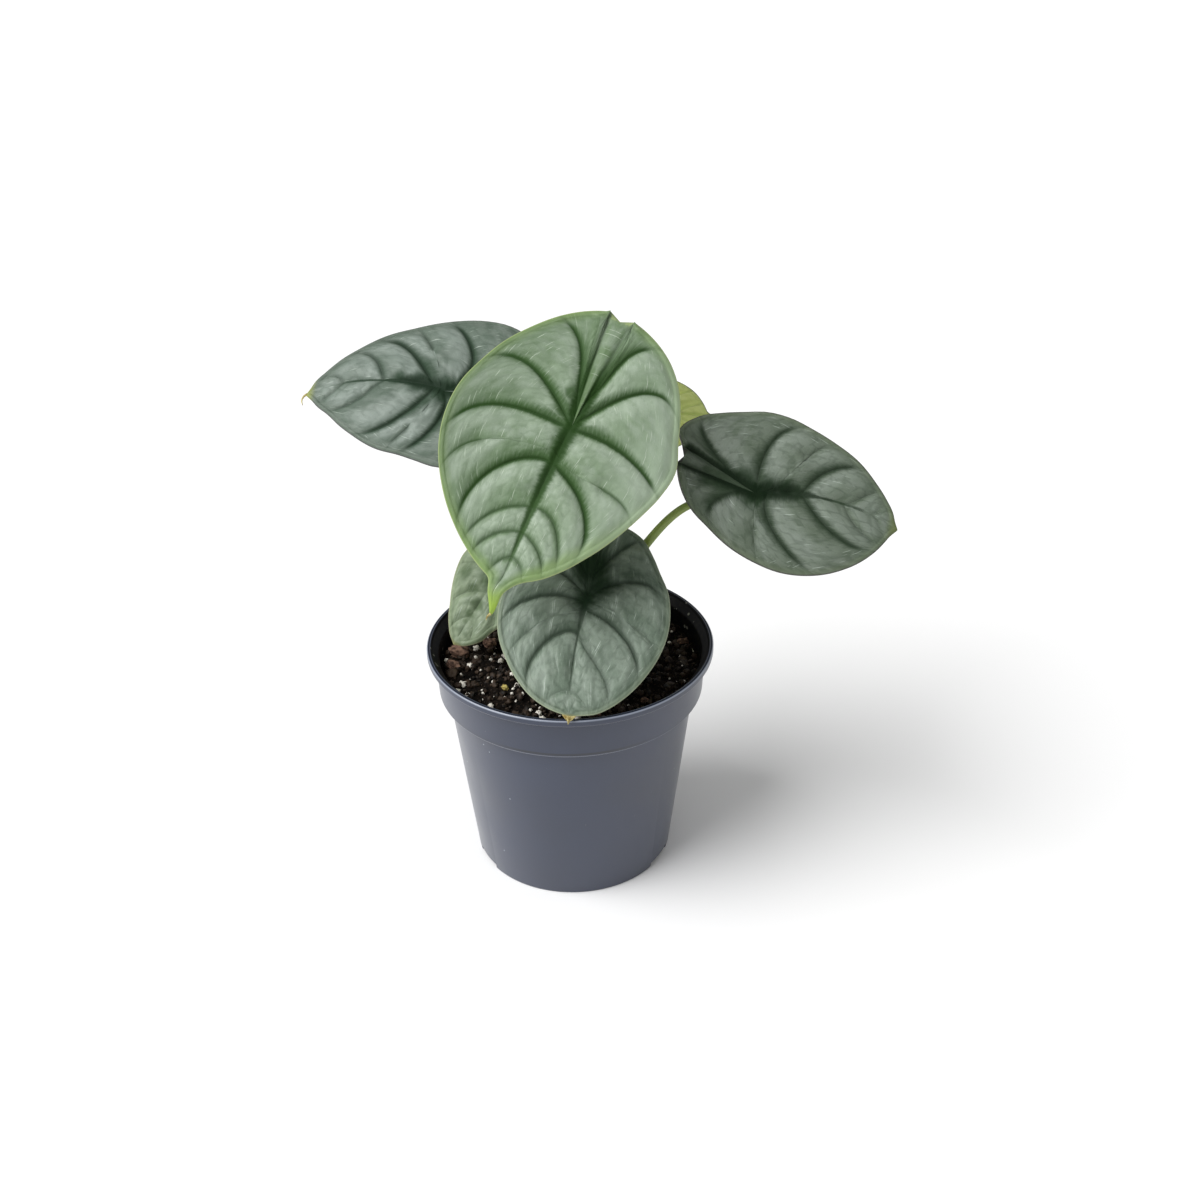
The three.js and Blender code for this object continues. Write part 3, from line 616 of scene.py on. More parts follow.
class Half:
    """One half of a blade as a grid: rows from the tip to the sinus, steps from midrib to margin."""

    def __init__(self, leaf, side):
        veins, other = full_veins(leaf, side), full_veins(leaf, -side)
        panels = len(veins) - 1
        even = np.arange(ROWS_PER_PANEL) / ROWS_PER_PANEL
        local = even - ROW_CROWDING * np.sin(2 * math.pi * even)
        self.panel = np.append(np.repeat(np.arange(panels), ROWS_PER_PANEL), panels - 1)
        self.phase = np.append(np.tile(local, panels), 1.0)

        def between(found):
            return found[self.panel] + self.phase[:, None] * (found[self.panel + 1] - found[self.panel])

        own = between(veins)
        mean = (own[:, 0] + between(other)[:, 0]) / 2
        joined = np.where(mean >= 0, mean, own[:, 0])
        self.ahead = mean >= 0
        self.length = tip_distance(leaf)
        self.set_columns(leaf, side, own, joined)
        self.flat = row_points(leaf, side, own, self.across, joined)
        self.measure(leaf, side, veins)
        self.quilt()
        self.flat[..., 1] *= side

    def set_columns(self, leaf, side, rows, joined):
        """Sets the shares across so that one column of points lies on the vein inside the margin."""
        dense = np.linspace(0, 1, 161)
        margin = margin_line(leaf, side)
        inner = np.linspace(0, 1, INNER_STEPS + 1) ** COLUMN_CROWDING
        outer = np.arange(1, RIM_STEPS + 1) / RIM_STEPS
        shares, rims = [], []
        for row in row_points(leaf, side, rows, dense, joined):
            edge = distance_to_line(row, margin)[0]
            rim = min(leaf["rim"], 0.45 * edge[0])
            last = np.nonzero(edge >= rim)[0][-1]
            falling = -np.minimum.accumulate(edge[last:])
            loop = np.interp(-rim, falling, dense[last:])
            shares.append([*(inner * loop), *np.interp(-rim * (1 - outer), falling, dense[last:])])
            shares[-1][-1] = 1
            rims.append(rim)
        self.across, self.rim = np.array(shares), np.array(rims)[:, None]

    def quilt(self):
        """Lifts each panel between two veins into a low dome."""
        width = self.above + self.below
        share = self.above / width
        dome = 1 - (1 - share) ** 3 - share ** 3
        near_midrib = 1 - np.exp(-9 * self.across)
        near_margin = 1 - smoothstep(QUILT_ENDS_FROM, 1, self.across)
        at_tip = smoothstep(0.78, 0.93, self.flat[..., 0] / self.length)
        height = np.minimum(QUILT_HEIGHT_PER_WIDTH * width, QUILT_LIMIT) * (1 - at_tip)
        self.lift = height * dome * near_midrib * near_margin

    def measure(self, leaf, side, veins):
        """How far each point is from the veins, the midrib and the margin, and where in its panel."""
        rows = np.arange(len(veins)) * ROWS_PER_PANEL
        shape = self.flat.shape[:2]
        self.above, self.below, self.cross, self.weight = (np.zeros(shape) for _ in range(4))
        hidden = 1 - smoothstep(-0.12, 0.12, self.across[rows] - veins[:, 6:7])
        hidden[0] = hidden[-1] = 4
        for panel in range(len(veins) - 1):
            here = self.panel == panel
            points = self.flat[here]

            def gap_to(k):
                gap, nearest = distance_to_line(points, self.flat[rows[k]])
                return gap + 9 * hidden[k][nearest] + 1e-3

            def nearer(first, second):
                gap, other = gap_to(first), gap_to(second)
                return np.minimum(gap, other), np.where(gap <= other, veins[first, 7], veins[second, 7])

            above, strong_above = nearer(panel, max(panel - 1, 0))
            below, strong_below = nearer(panel + 1, min(panel + 2, len(veins) - 1))
            pull_above, pull_below = np.exp(-above / 1.5), np.exp(-below / 1.5)
            strong = strong_above * pull_above + strong_below * pull_below
            self.above[here], self.below[here] = above, below
            self.weight[here] = strong / (pull_above + pull_below + 1e-9)
            self.cross[here] = np.linalg.norm(points - self.flat[rows[panel]][None], axis=-1)
        steps = np.linalg.norm(np.diff(self.flat, axis=1), axis=-1)
        self.along = np.concatenate([np.zeros((shape[0], 1)), np.cumsum(steps, axis=1)], axis=1)
        self.edge = distance_to_line(self.flat, margin_line(leaf, side))[0]
        self.loop = self.edge - self.rim
        distances = np.linspace(-leaf["notch"], tip_distance(leaf), 90)
        self.mid = distance_to_line(self.flat, axis_point(leaf, side, distances))[0]


def droop(leaf, u, v):
    along = np.where(u > 0, leaf["droop"]["tip"] * (u / tip_distance(leaf)) ** 2,
                     leaf["droop"]["base"] * (u / leaf["notch"]) ** 2)
    aside = np.where(v > 0, leaf["droop"]["right"] * (v / leaf["right_radii"][8]) ** 2,
                     leaf["droop"]["left"] * (v / leaf["left_radii"][8]) ** 2)
    return -along - aside


def strip_columns(leaf, left, right):
    """The raised strip between the joint and the sinus: columns between the two halves' inner edges."""
    rows = len(left.flat)
    shares = np.arange(1, STRIP_STEPS) / STRIP_STEPS
    a, b = left.flat[:, 0], right.flat[:, 0]
    middle = (a + b) / 2
    reach = np.linalg.norm(middle, axis=-1)
    last_panel = rows - 1 - ROWS_PER_PANEL
    start = reach[last_panel]
    phase = np.clip((np.arange(rows) - last_panel) / ROWS_PER_PANEL, 0, 1)
    wanted = np.where(phase > 0, start + phase * (leaf["notch"] - start), reach)
    middle = middle * np.where(left.ahead, 1, wanted / np.maximum(reach, 1e-9))[:, None]
    s = shares[None, :, None]
    flat = np.where(s < 0.5, a[:, None] + (middle - a)[:, None] * 2 * s,
                    middle[:, None] + (b - middle)[:, None] * (2 * s - 1))
    ridge = leaf["ridge"] * np.minimum(reach / 12, 1)[:, None] * (1 - np.abs(2 * shares - 1) ** 2)[None]
    ridge = ridge * (1 - phase ** 6)[:, None]
    width = np.linalg.norm(b - a, axis=-1)[:, None]
    return flat, np.where(left.ahead[:, None], 0, ridge), width * np.minimum(shares, 1 - shares)[None]


def blade_grid(leaf):
    """All of a blade's grid: flat points, lift, and the measures that the relief and the colours use."""
    left, right = Half(leaf, -1), Half(leaf, 1)
    flat, lift, gap = strip_columns(leaf, left, right)
    far = np.full_like(gap, 30)
    reach = np.linalg.norm(flat, axis=-1)
    edge = np.maximum(leaf["notch"] - reach, 0)
    strip = dict(flat=flat, lift=lift, above=far, below=far, cross=gap, along=reach, mid=gap, edge=edge,
                 loop=edge, weight=np.zeros_like(gap))
    grid = {name: np.concatenate([getattr(left, name)[:, ::-1], middle, getattr(right, name)], axis=1)
            for name, middle in strip.items()}
    flat, above, below = grid["flat"], grid["above"], grid["below"]
    grid["strip"] = np.zeros(above.shape)
    columns = left.flat.shape[1]
    lane = np.arange(1, STRIP_STEPS) / STRIP_STEPS
    share = smoothstep(0, 0.15, lane) * (1 - smoothstep(*leaf["strip_light"], lane))
    grid["strip"][:, columns:columns + STRIP_STEPS - 1] = np.where(left.ahead[:, None], 0, share[None])
    grid["vein"] = np.minimum(above, below)
    grid["baseward"] = smoothstep(-0.3, 0.3, (below - above) / (below + above))
    grid["tip"] = flat[..., 0] / tip_distance(leaf)
    grid["aside"] = flat[..., 1] / leaf["right_radii"][8]
    grid["reach"] = np.linalg.norm(flat, axis=-1)
    grid["net"] = net_distance(grid["along"], grid["cross"], leaf["notch"])
    grid["stain"] = np.zeros(above.shape)
    for u, v, size, strength in leaf["stains"]:
        away = np.linalg.norm(flat - (u, v), axis=-1) / size
        grid["stain"] = np.maximum(grid["stain"], strength * np.exp(-away ** 2))
    return grid


def net_distance(along, cross, seed):
    """How far each point is from the net of small veins in the panels: 0 on the net, up to about 1."""
    def at(a, c):
        first = noise.voronoi(Vector((NET_ALONG * a, NET_ACROSS * c, seed)))[0]
        return first[1] - first[0]
    found = [at(a, c) for a, c in zip(along.ravel(), cross.ravel())]
    return np.array(found).reshape(along.shape)


def crease(gap, width):
    """A valley with steep sides and a narrow round floor: 1 in its middle, 0 far from it."""
    return np.exp((VALLEY_FLOOR - np.hypot(gap, VALLEY_FLOOR)) / width)


def blade_relief(leaf, grid):
    """Heights of the upper and the lower face over the blade's flat plane."""
    u, v = grid["flat"][..., 0], grid["flat"][..., 1]
    vein = grid["vein"]
    middle = grid["lift"] + droop(leaf, u, v)
    from_edge = smoothstep(0, EDGE_THINS_OVER, grid["edge"])
    half = BLADE_THICKNESS / 2 * (EDGE_SHARE + (1 - EDGE_SHARE) * from_edge)
    inside = smoothstep(-0.3, 2.5, grid["loop"])
    tip_fade = 1 - 0.8 * smoothstep(0.2, 1, grid["tip"])
    outward = 1 - 0.45 * smoothstep(10, 45, grid["along"])
    veins = VEIN_DEPTH * crease(vein, VEIN_WIDTH) * outward * inside * grid["weight"]
    midrib = MIDRIB_DEPTH * crease(grid["mid"], MIDRIB_WIDTH) * tip_fade * smoothstep(0, 3, grid["edge"])
    midrib = midrib * (1 - smoothstep(0.72, 0.95, grid["tip"])) * (1 - 0.45 * smoothstep(0, 12, -u))
    loop = LOOP_DEPTH * crease(np.abs(grid["loop"]), 0.7) * smoothstep(0.4, 1.6, grid["edge"])
    at_joint = JOINT_SHARE + (1 - JOINT_SHARE) * smoothstep(0.5, 7, grid["reach"])
    valley = np.maximum(np.maximum(veins, midrib), loop) * at_joint * leaf["depth"]
    rounds = RIM_ROUNDING * np.sin(math.pi * np.clip(grid["edge"] / leaf["rim"], 0, 1))
    waves = np.array([noise.noise(Vector((WAVE_ALONG * a, WAVE_ACROSS * c, 7)))
                      for a, c in zip(grid["along"].ravel(), grid["cross"].ravel())]).reshape(u.shape)
    soft = inside * (1 - np.exp(-vein / 1.5))
    puckers = NET_DEPTH * leaf["pucker"] * smoothstep(0, 0.3, grid["net"]) * soft
    puckers = puckers * (1 - np.minimum(grid["strip"], 1))
    middle = middle + rounds - valley + WAVE_HEIGHT * waves * soft + puckers
    ribs = MID_RIB[0] * np.exp(-(grid["mid"] / MID_RIB[1]) ** 2) * tip_fade
    ribs = ribs + SIDE_RIB[0] * np.exp(-(vein / SIDE_RIB[1]) ** 2) * inside
    return middle + half, middle - half - ribs * leaf["depth"]


def blade_axes(leaf):
    azimuth, elevation = (math.radians(x) for x in leaf["faces"])
    flat_face = math.cos(elevation)
    face = np.array((math.sin(azimuth) * flat_face, -math.cos(azimuth) * flat_face, math.sin(elevation)))
    level = np.array((-face[1], face[0], 0))
    level = level / np.linalg.norm(level)
    down = np.cross(level, face)
    heading = math.radians(leaf["heading"])
    tip = down * math.cos(heading) + level * math.sin(heading)
    return tip, np.cross(face, tip), face


def blade_points(leaf, flat, height):
    """Points of a blade from flat points and heights over its plane."""
    tip, aside, face = blade_axes(leaf)
    u = flat[..., :1]
    v = flat[..., 1:] + leaf["neck"] * np.exp(-((u - NECK_PLACE) / NECK_LENGTH) ** 2)
    return np.array(leaf["joint"]) + u * tip + v * aside + height[..., None] * face


def blade_mesh(name, leaf):
    """The blade as one closed skin: the upper face, the lower one with its ribs, and the thin edge."""
    grid = blade_grid(leaf)
    upper, lower = blade_relief(leaf, grid)
    flat, lift = grid.pop("flat"), grid.pop("lift")
    keys = np.round(np.concatenate([flat, lift[..., None]], axis=-1) / SAME_POINT).reshape(-1, 3)
    _, first, index = np.unique(keys, axis=0, return_index=True, return_inverse=True)
    index = index.reshape(upper.shape)
    corners = np.stack([index[:-1, :-1], index[:-1, 1:], index[1:, 1:], index[1:, :-1]], -1).reshape(-1, 4)
    faces = []
    for quad in corners.tolist():
        ring = [p for k, p in enumerate(quad) if p != quad[k - 1]]
        if len(set(ring)) == len(ring) and len(ring) >= 3:
            faces.append(ring)
    attributes = {key: np.tile(values.ravel()[first], 2) for key, values in grid.items()}
    attributes["upper"] = np.repeat([1.0, 0.0], len(first))
    flat = flat.reshape(-1, 2)[first]
    points = np.concatenate([blade_points(leaf, flat, height.ravel()[first]) for height in (upper, lower)])
    return mesh_object(name, points, closed_skin(faces, len(first)), attributes)


def dry_hairs():
    """The dried threads that end two of the drip tips."""
    bodies = []
    for name, knots in DRY_HAIRS.items():
        leaf = LEAVES[name]
        knots = np.array(knots)
        share = np.linspace(0, len(knots) - 1, 14)
        u, v, radii = (smooth_through(np.arange(len(knots)), knots[:, k], share) for k in range(3))
        path = blade_points(leaf, np.stack([u, v], -1), droop(leaf, u, v))
        bodies.append(tube(path, radii, 10)[:2])
    return bodies


def dry_scale():
    """The small dried scale on the round end of the low blade: a thin curled triangle."""
    leaf = LEAVES["low"]
    rows, columns = 12, 15
    s, t = np.meshgrid(np.linspace(0, 1, rows), np.linspace(-1, 1, columns), indexing="ij")
    torn = 0.5 * np.sin(5.1 * t + 1) * s * (1 - t * t)
    u = DRY_SCALE_ROOT + DRY_SCALE_LENGTH * s * (1 - 0.4 * np.abs(t)) + torn
    v = -0.3 + t * DRY_SCALE_WIDTH / 2 * (1 - 0.6 * s)
    height = droop(leaf, u, v) + 0.5 * np.sin(3 * s + 2 * t) * s + 0.3 * np.cos(7 * t) * s
    thick = 0.12 + 0.16 * (1 - s) * (1 - t * t)
    flat = np.stack([u, v], -1)
    sides = [blade_points(leaf, flat.reshape(-1, 2), (height + way * thick).ravel()) for way in (1, -1)]
    cells = [[k * columns + j, k * columns + j + 1, (k + 1) * columns + j + 1, (k + 1) * columns + j]
             for k in range(rows - 1) for j in range(columns - 1)]
    return np.concatenate(sides).tolist(), closed_skin(cells, rows * columns)


# Petioles

def spline_points(points, steps):
    """The CAD model's centripetal curve through points, at even distances along it."""
    p = [np.array(x, float) for x in points]
    p = [2 * p[0] - p[1], *p, 2 * p[-1] - p[-2]]
    dense = []
    for k in range(1, len(p) - 2):
        p0, p1, p2, p3 = p[k - 1:k + 3]
        d0, d1, d2 = (max(np.linalg.norm(b - a) ** 0.5, 1e-4) for a, b in ((p0, p1), (p1, p2), (p2, p3)))
        t1 = ((p1 - p0) / d0 - (p2 - p0) / (d0 + d1) + (p2 - p1) / d1) * d1
        t2 = ((p2 - p1) / d1 - (p3 - p1) / (d1 + d2) + (p3 - p2) / d2) * d1
        for t in np.linspace(0, 1, 60, endpoint=False):
            dense.append(p1 + t1 * t + (-3 * p1 + 3 * p2 - 2 * t1 - t2) * t ** 2
                         + (2 * p1 - 2 * p2 + t1 + t2) * t ** 3)
    dense = np.array([*dense, p[-2]])
    length = np.append(0, np.cumsum(np.linalg.norm(np.diff(dense, axis=0), axis=1)))
    even = np.linspace(0, length[-1], steps + 1)
    return np.stack([np.interp(even, length, dense[:, k]) for k in range(3)], axis=-1)


def petiole_path(name):
    """The CAD path up to the blade, carried on into the blade's middle."""
    leaf = LEAVES[name]
    face = blade_axes(leaf)[2]
    joint = np.array(leaf["joint"], float)
    before = np.array(PETIOLE_PATHS[name][-1], float) - joint
    before = before / np.linalg.norm(before)
    under = before - face
    under = under / np.linalg.norm(under)
    slant = math.sin(math.acos(float(np.clip(-under @ face, -1, 1))))
    clearance = BLADE_THICKNESS / 2 + PETIOLE_GAP + PETIOLE_TOP_RADIUS * slant
    top = joint - face * clearance
    return spline_points([*PETIOLE_PATHS[name], top + under * PETIOLE_LAST_BEND, top], PETIOLE_STEPS), joint


def tube(path, radii, sides):
    """Points, faces and the measures (along, around) of a closed tube along a path."""
    tangents = np.gradient(path, axis=0)
    tangents /= np.linalg.norm(tangents, axis=1)[:, None]
    normal = np.cross(tangents[0], (0.3, 0.9, 0.1))
    points, along, around = [], [], []
    run = 0
    for k, (centre, tangent, radius) in enumerate(zip(path, tangents, radii)):
        normal = normal - tangent * (normal @ tangent)
        normal /= np.linalg.norm(normal)
        other = np.cross(tangent, normal)
        run += np.linalg.norm(centre - path[k - 1]) if k else 0
        for j in range(sides):
            x, y = polar(1, 2 * math.pi * j / sides)
            points.append(centre + radius * (x * normal + y * other))
            along.append(run)
            around.append(x)
    ends = [list(range(sides))[::-1], list(range(len(points) - sides, len(points)))]
    return points, bands(len(path), sides) + ends, along, around


def petiole_mesh(name):
    path, joint = petiole_path(name)
    path = np.append(path, [path[-1] + (joint - path[-1]) * 0.15], axis=0)
    share = np.linspace(0, 1, len(path))
    radii = PETIOLE_TOP_RADIUS + (PETIOLE_FOOT_RADIUS - PETIOLE_TOP_RADIUS) * (1 - share) ** PETIOLE_TAPER
    radii = radii + PETIOLE_FLARE * smoothstep(0.96, 1, share)
    points, faces, along, around = tube(path, radii, TUBE_SIDES)
    attributes = {"along": along, "around": around, "rise": np.repeat(share, TUBE_SIDES)}
    return mesh_object(f"stalk_{name}", points, faces, attributes)


# Turned bodies

def rounded(profile, radius, steps=4):
    """A profile of [radius, z] with each inner corner rounded off."""
    points = [np.array(p, float) for p in profile]
    out = [points[0]]
    for before, corner, after in zip(points, points[1:], points[2:]):
        to_before, to_after = before - corner, after - corner
        reach = min(radius, 0.4 * np.linalg.norm(to_before), 0.4 * np.linalg.norm(to_after))
        a = corner + to_before / np.linalg.norm(to_before) * reach
        b = corner + to_after / np.linalg.norm(to_after) * reach
        for k in range(steps + 1):
            t = k / steps
            out.append((1 - t) ** 2 * a + 2 * t * (1 - t) * corner + t * t * b)
    out.append(points[-1])
    return out


def turned(profile, sides):
    """Points and faces of a body turned round Z. The profile starts and ends on the axis, foot first."""
    rings = profile[1:-1]
    points = [(0, 0, profile[0][1])]
    points += [(*polar(radius, 2 * math.pi * j / sides), z) for radius, z in rings for j in range(sides)]
    points.append((0, 0, profile[-1][1]))
    last = len(points) - 1
    top = last - sides
    faces = bands(len(rings), sides, 1)
    for j in range(sides):
        n = (j + 1) % sides
        faces += [[0, 1 + n, 1 + j], [top + j, top + n, last]]
    return points, faces


def prism(ring, low, high):
    count = len(ring)
    points = [(x, y, z) for z in (low, high) for x, y in ring]
    return points, [list(range(count))[::-1], list(range(count, 2 * count)), *bands(2, count)]


# Pot

def wall_radius_at(z):
    return BASE_RADIUS + (WALL_TOP_RADIUS - BASE_RADIUS) * z / WALL_TOP_Z


def pot_profile():
    lip_z = POT_HEIGHT - LIP_HEIGHT
    floor_z = FOOT_HEIGHT + WALL
    outside = [
        (0, 0), (BASE_DISC_RADIUS, 0), (BASE_DISC_RADIUS + 2, FOOT_HEIGHT),
        (BASE_RADIUS - FOOT_RING_WIDTH, FOOT_HEIGHT), (BASE_RADIUS - FOOT_RING_WIDTH, 0),
        (BASE_RADIUS, 0), (WALL_TOP_RADIUS, WALL_TOP_Z), (COLLAR_FOOT_RADIUS, COLLAR_FOOT_Z),
        (COLLAR_RADIUS, lip_z - 0.6), (RIM_RADIUS - 0.6, lip_z), (RIM_RADIUS, lip_z + 0.6),
        (RIM_RADIUS, POT_HEIGHT - 0.5), (RIM_RADIUS - 0.5, POT_HEIGHT),
        (RIM_RADIUS - LIP_WIDTH + 0.3, POT_HEIGHT),
    ]
    inside = [
        (RIM_RADIUS - LIP_WIDTH, POT_HEIGHT - 1),
        (COLLAR_RADIUS - WALL, lip_z - 0.6),
        (COLLAR_FOOT_RADIUS - WALL, COLLAR_FOOT_Z + 1.2),
        (WALL_TOP_RADIUS - WALL, WALL_TOP_Z + 0.6),
        (wall_radius_at(floor_z) - WALL, floor_z),
        (0, floor_z),
    ]
    return rounded(outside + inside, 0.7)


def notch_points(angle):
    """A block that cuts one of the gaps in the foot ring."""
    inner, outer = BASE_RADIUS - FOOT_RING_WIDTH - 1, BASE_RADIUS + 3
    turns = np.radians(angle + np.linspace(-0.5, 0.5, 9) * NOTCH_WIDTH_ANGLE)
    ring = [polar(outer, turn) for turn in turns] + [polar(inner, turn) for turn in turns[::-1]]
    return prism(ring, -1, FOOT_HEIGHT)


def drain_points(index):
    x, y = polar(DRAIN_CIRCLE_RADIUS, (index + 0.5) * 2 * math.pi / DRAIN_HOLES)
    hole = [polar(DRAIN_HOLE_RADIUS, 2 * math.pi * k / 24) for k in range(24)]
    return prism([(x + a, y + b) for a, b in hole], -1, DRAIN_CUT_TOP)


def pot_piece():
    piece = mesh_object("pot_shell", *turned(pot_profile(), POT_SIDES))
    cutters = [notch_points(angle) for angle in NOTCH_ANGLES]
    cutters += [drain_points(index) for index in range(DRAIN_HOLES)]
    cutter = mesh_object("cutter", *joined_bodies(cutters))
    change = piece.modifiers.new("cut", "BOOLEAN")
    change.object = cutter
    change.operation = "DIFFERENCE"
    change.solver = "EXACT"
    depsgraph = bpy.context.evaluated_depsgraph_get()
    mesh = bpy.data.meshes.new_from_object(piece.evaluated_get(depsgraph))
    piece.modifiers.clear()
    piece.data = mesh
    bpy.data.objects.remove(cutter)
    mesh.polygons.foreach_set("use_smooth", [True] * len(mesh.polygons))
    mesh.set_sharp_from_angle(angle=math.radians(SHARP_FROM_ANGLE))
    return piece


# Soil

def soil_height(x, y):
    broad = 1.1 * math.sin(0.11 * x + 0.7) * math.cos(0.13 * y - 0.4)
    fine = 0.5 * math.sin(0.33 * x + 0.17 * y) + 0.4 * math.cos(0.36 * y - 0.2 * x)
    return SOIL_Z + broad + fine


def soil_relief(x, y):
    """The crumbly height on top of the CAD model's surface."""
    rough = noise.fractal(Vector((0.28 * x, 0.28 * y, 3.0)), 0.9, 2.0, 3)
    crumbs = noise.fractal(Vector((0.85 * x, 0.85 * y, 9.0)), 0.7, 2.2, 4)
    return 0.9 * rough + 0.75 * crumbs


def soil_top(x, y):
    """The height of the soil's rough top, which sinks at the pot's wall."""
    sink = smoothstep(SOIL_EDGE_RADIUS - 1.5, SOIL_EDGE_RADIUS, math.hypot(x, y))
    return soil_height(x, y) + soil_relief(x, y) - 0.8 * float(sink)


def soil_bed():
    """The soil's closed body: its rough top, and the sides and bottom that lie in the pot."""
    floor_z = FOOT_HEIGHT + WALL + SOIL_CLEARANCE
    profile = [
        (0, floor_z), (wall_radius_at(floor_z) - WALL - SOIL_CLEARANCE, floor_z),
        (WALL_TOP_RADIUS - WALL - SOIL_CLEARANCE, WALL_TOP_Z + 0.6),
        (COLLAR_FOOT_RADIUS - WALL - SOIL_CLEARANCE, COLLAR_FOOT_Z + 1.6),
        (COLLAR_RADIUS - WALL - 0.8, SOIL_Z - 4),
    ]
    profile += [(SOIL_EDGE_RADIUS * k / SOIL_RINGS, SOIL_Z) for k in range(SOIL_RINGS, 0, -1)]
    profile.append((0, soil_height(0, 0) - 1.5))
    points, faces = turned(profile, SOIL_SIDES)
    points = [(x, y, soil_top(x, y) if z == SOIL_Z else z) for x, y, z in points]
    return mesh_object("soil_bed", points, faces)


def sphere_points(level):
    """Points and faces of a unit ball made of triangles."""
    golden = (1 + 5 ** 0.5) / 2
    points = [Vector(p).normalized() for p in (
        (-1, golden, 0), (1, golden, 0), (-1, -golden, 0), (1, -golden, 0), (0, -1, golden),
        (0, 1, golden), (0, -1, -golden), (0, 1, -golden), (golden, 0, -1), (golden, 0, 1),
        (-golden, 0, -1), (-golden, 0, 1))]
    faces = [(0, 11, 5), (0, 5, 1), (0, 1, 7), (0, 7, 10), (0, 10, 11), (1, 5, 9), (5, 11, 4),
             (11, 10, 2), (10, 7, 6), (7, 1, 8), (3, 9, 4), (3, 4, 2), (3, 2, 6), (3, 6, 8), (3, 8, 9),
             (4, 9, 5), (2, 4, 11), (6, 2, 10), (8, 6, 7), (9, 8, 1)]
    for _ in range(level):
        middle = {}

        def half_way(a, b):
            key = (min(a, b), max(a, b))
            if key not in middle:
                middle[key] = len(points)
                points.append((points[a] + points[b]).normalized())
            return middle[key]

        split = []
        for a, b, c in faces:
            d, e, f = half_way(a, b), half_way(b, c), half_way(c, a)
            split += [(a, d, f), (b, e, d), (c, f, e), (d, e, f)]
        faces = split
    return points, [list(face) for face in faces]


BALLS = {level: sphere_points(level) for level in (1, 2, 3)}


def lump(centre, size, turn, level, rough, seed, boxy=0):
    """A rough grain: a ball squashed to size, pushed towards a box, with noise on it."""
    points, faces = BALLS[level]
    spin = Euler(turn).to_matrix()
    placed = []
    for p in points:
        box = p / max(abs(p.x), abs(p.y), abs(p.z))
        broad = noise.noise(p * 1.7 + Vector((seed, 0, 0)))
        fine = noise.noise(p * 4.1 + Vector((0, seed, 0)))
        q = p.lerp(box * 0.82, boxy) * (1 + rough * broad + 0.5 * rough * fine)
        placed.append(Vector(centre) + spin @ Vector((q.x * size[0], q.y * size[1], q.z * size[2])))
    return placed, faces


def soil_spot(draw):
    return polar(15 + 36 * math.sqrt(draw()), 2 * math.pi * draw())


def in_open_front(x, y):
    """The soil in front of the leaves, where each pale piece has its own place."""
    return y < 8 and abs(x) > 12


def grains_and_chips():
    """The CAD model's chips and grains as finer lumps, and those of the open front that are clods here."""
    draw = Draw(SOIL_SEED)
    chips, grains, dark = [], [], []
    for k in range(BARK_CHIPS):
        length = 3.5 + 4.5 * draw()
        width = length * (0.45 + 0.3 * draw())
        x, y = soil_spot(draw)
        tilt = 0.5 * (draw() - 0.5)
        turn = TURN * draw()
        roll = 0.5 * (draw() - 0.5)
        centre = (x, y, soil_height(x, y) + 0.02 * length)
        size = (width * 0.5, length * 0.5, width * 0.3)
        chip = lump(centre, size, (tilt + roll, 0, turn), 3, 0.3, k * 3.1, 0.65)
        (dark if in_open_front(x, y) else chips).append(chip)
    for k in range(PERLITE_GRAINS):
        size = 1 + 1.2 * draw()
        x, y = soil_spot(draw)
        scale = (1, 0.8 + 0.4 * draw(), 0.75 + 0.4 * draw())
        turn = TURN * draw()
        centre = (x, y, soil_height(x, y) + 0.1 * size)
        grain = lump(centre, [0.78 * size * share for share in scale], (0, 0, turn), 2, 0.55, k * 1.7)
        (dark if in_open_front(x, y) and x > 0 else grains).append(grain)
    return chips, grains, dark


def crumbs(count, seed, small, large, rough):
    """Loose lumps strewn on the soil."""
    draw = Draw(seed)
    inner, outer = (radius ** 2 for radius in CRUMB_SPREAD)
    made = []
    for k in range(count):
        x, y = polar(math.sqrt(inner + (outer - inner) * draw()), 2 * math.pi * draw())
        size = small + (large - small) * draw() ** 2
        shape = (size, size * (0.55 + 0.5 * draw()), size * (0.45 + 0.4 * draw()))
        turn = (TURN * draw(), 1.2 * draw(), TURN * draw())
        centre = (x, y, soil_top(x, y) + 0.25 * size)
        made.append(lump(centre, shape, turn, 1, rough, k * 0.77 + seed % 97))
    return made


def seen_lump(place, index, flatness, level, rough, boxy=0):
    """A piece at one of the places on the soil, lying on its surface."""
    x, y, length = place
    shape = (length / 2, length * (0.34 + 0.06 * math.sin(index)), length * flatness / 2)
    turn = (0.3 * math.sin(2.3 * index), 0.25 * math.cos(1.9 * index), 2.4 * index)
    centre = (x, y, soil_height(x, y) + 0.5 + 0.25 * length * flatness)
    return lump(centre, shape, turn, level, rough, 31 + 2.7 * index, boxy)


# Materials

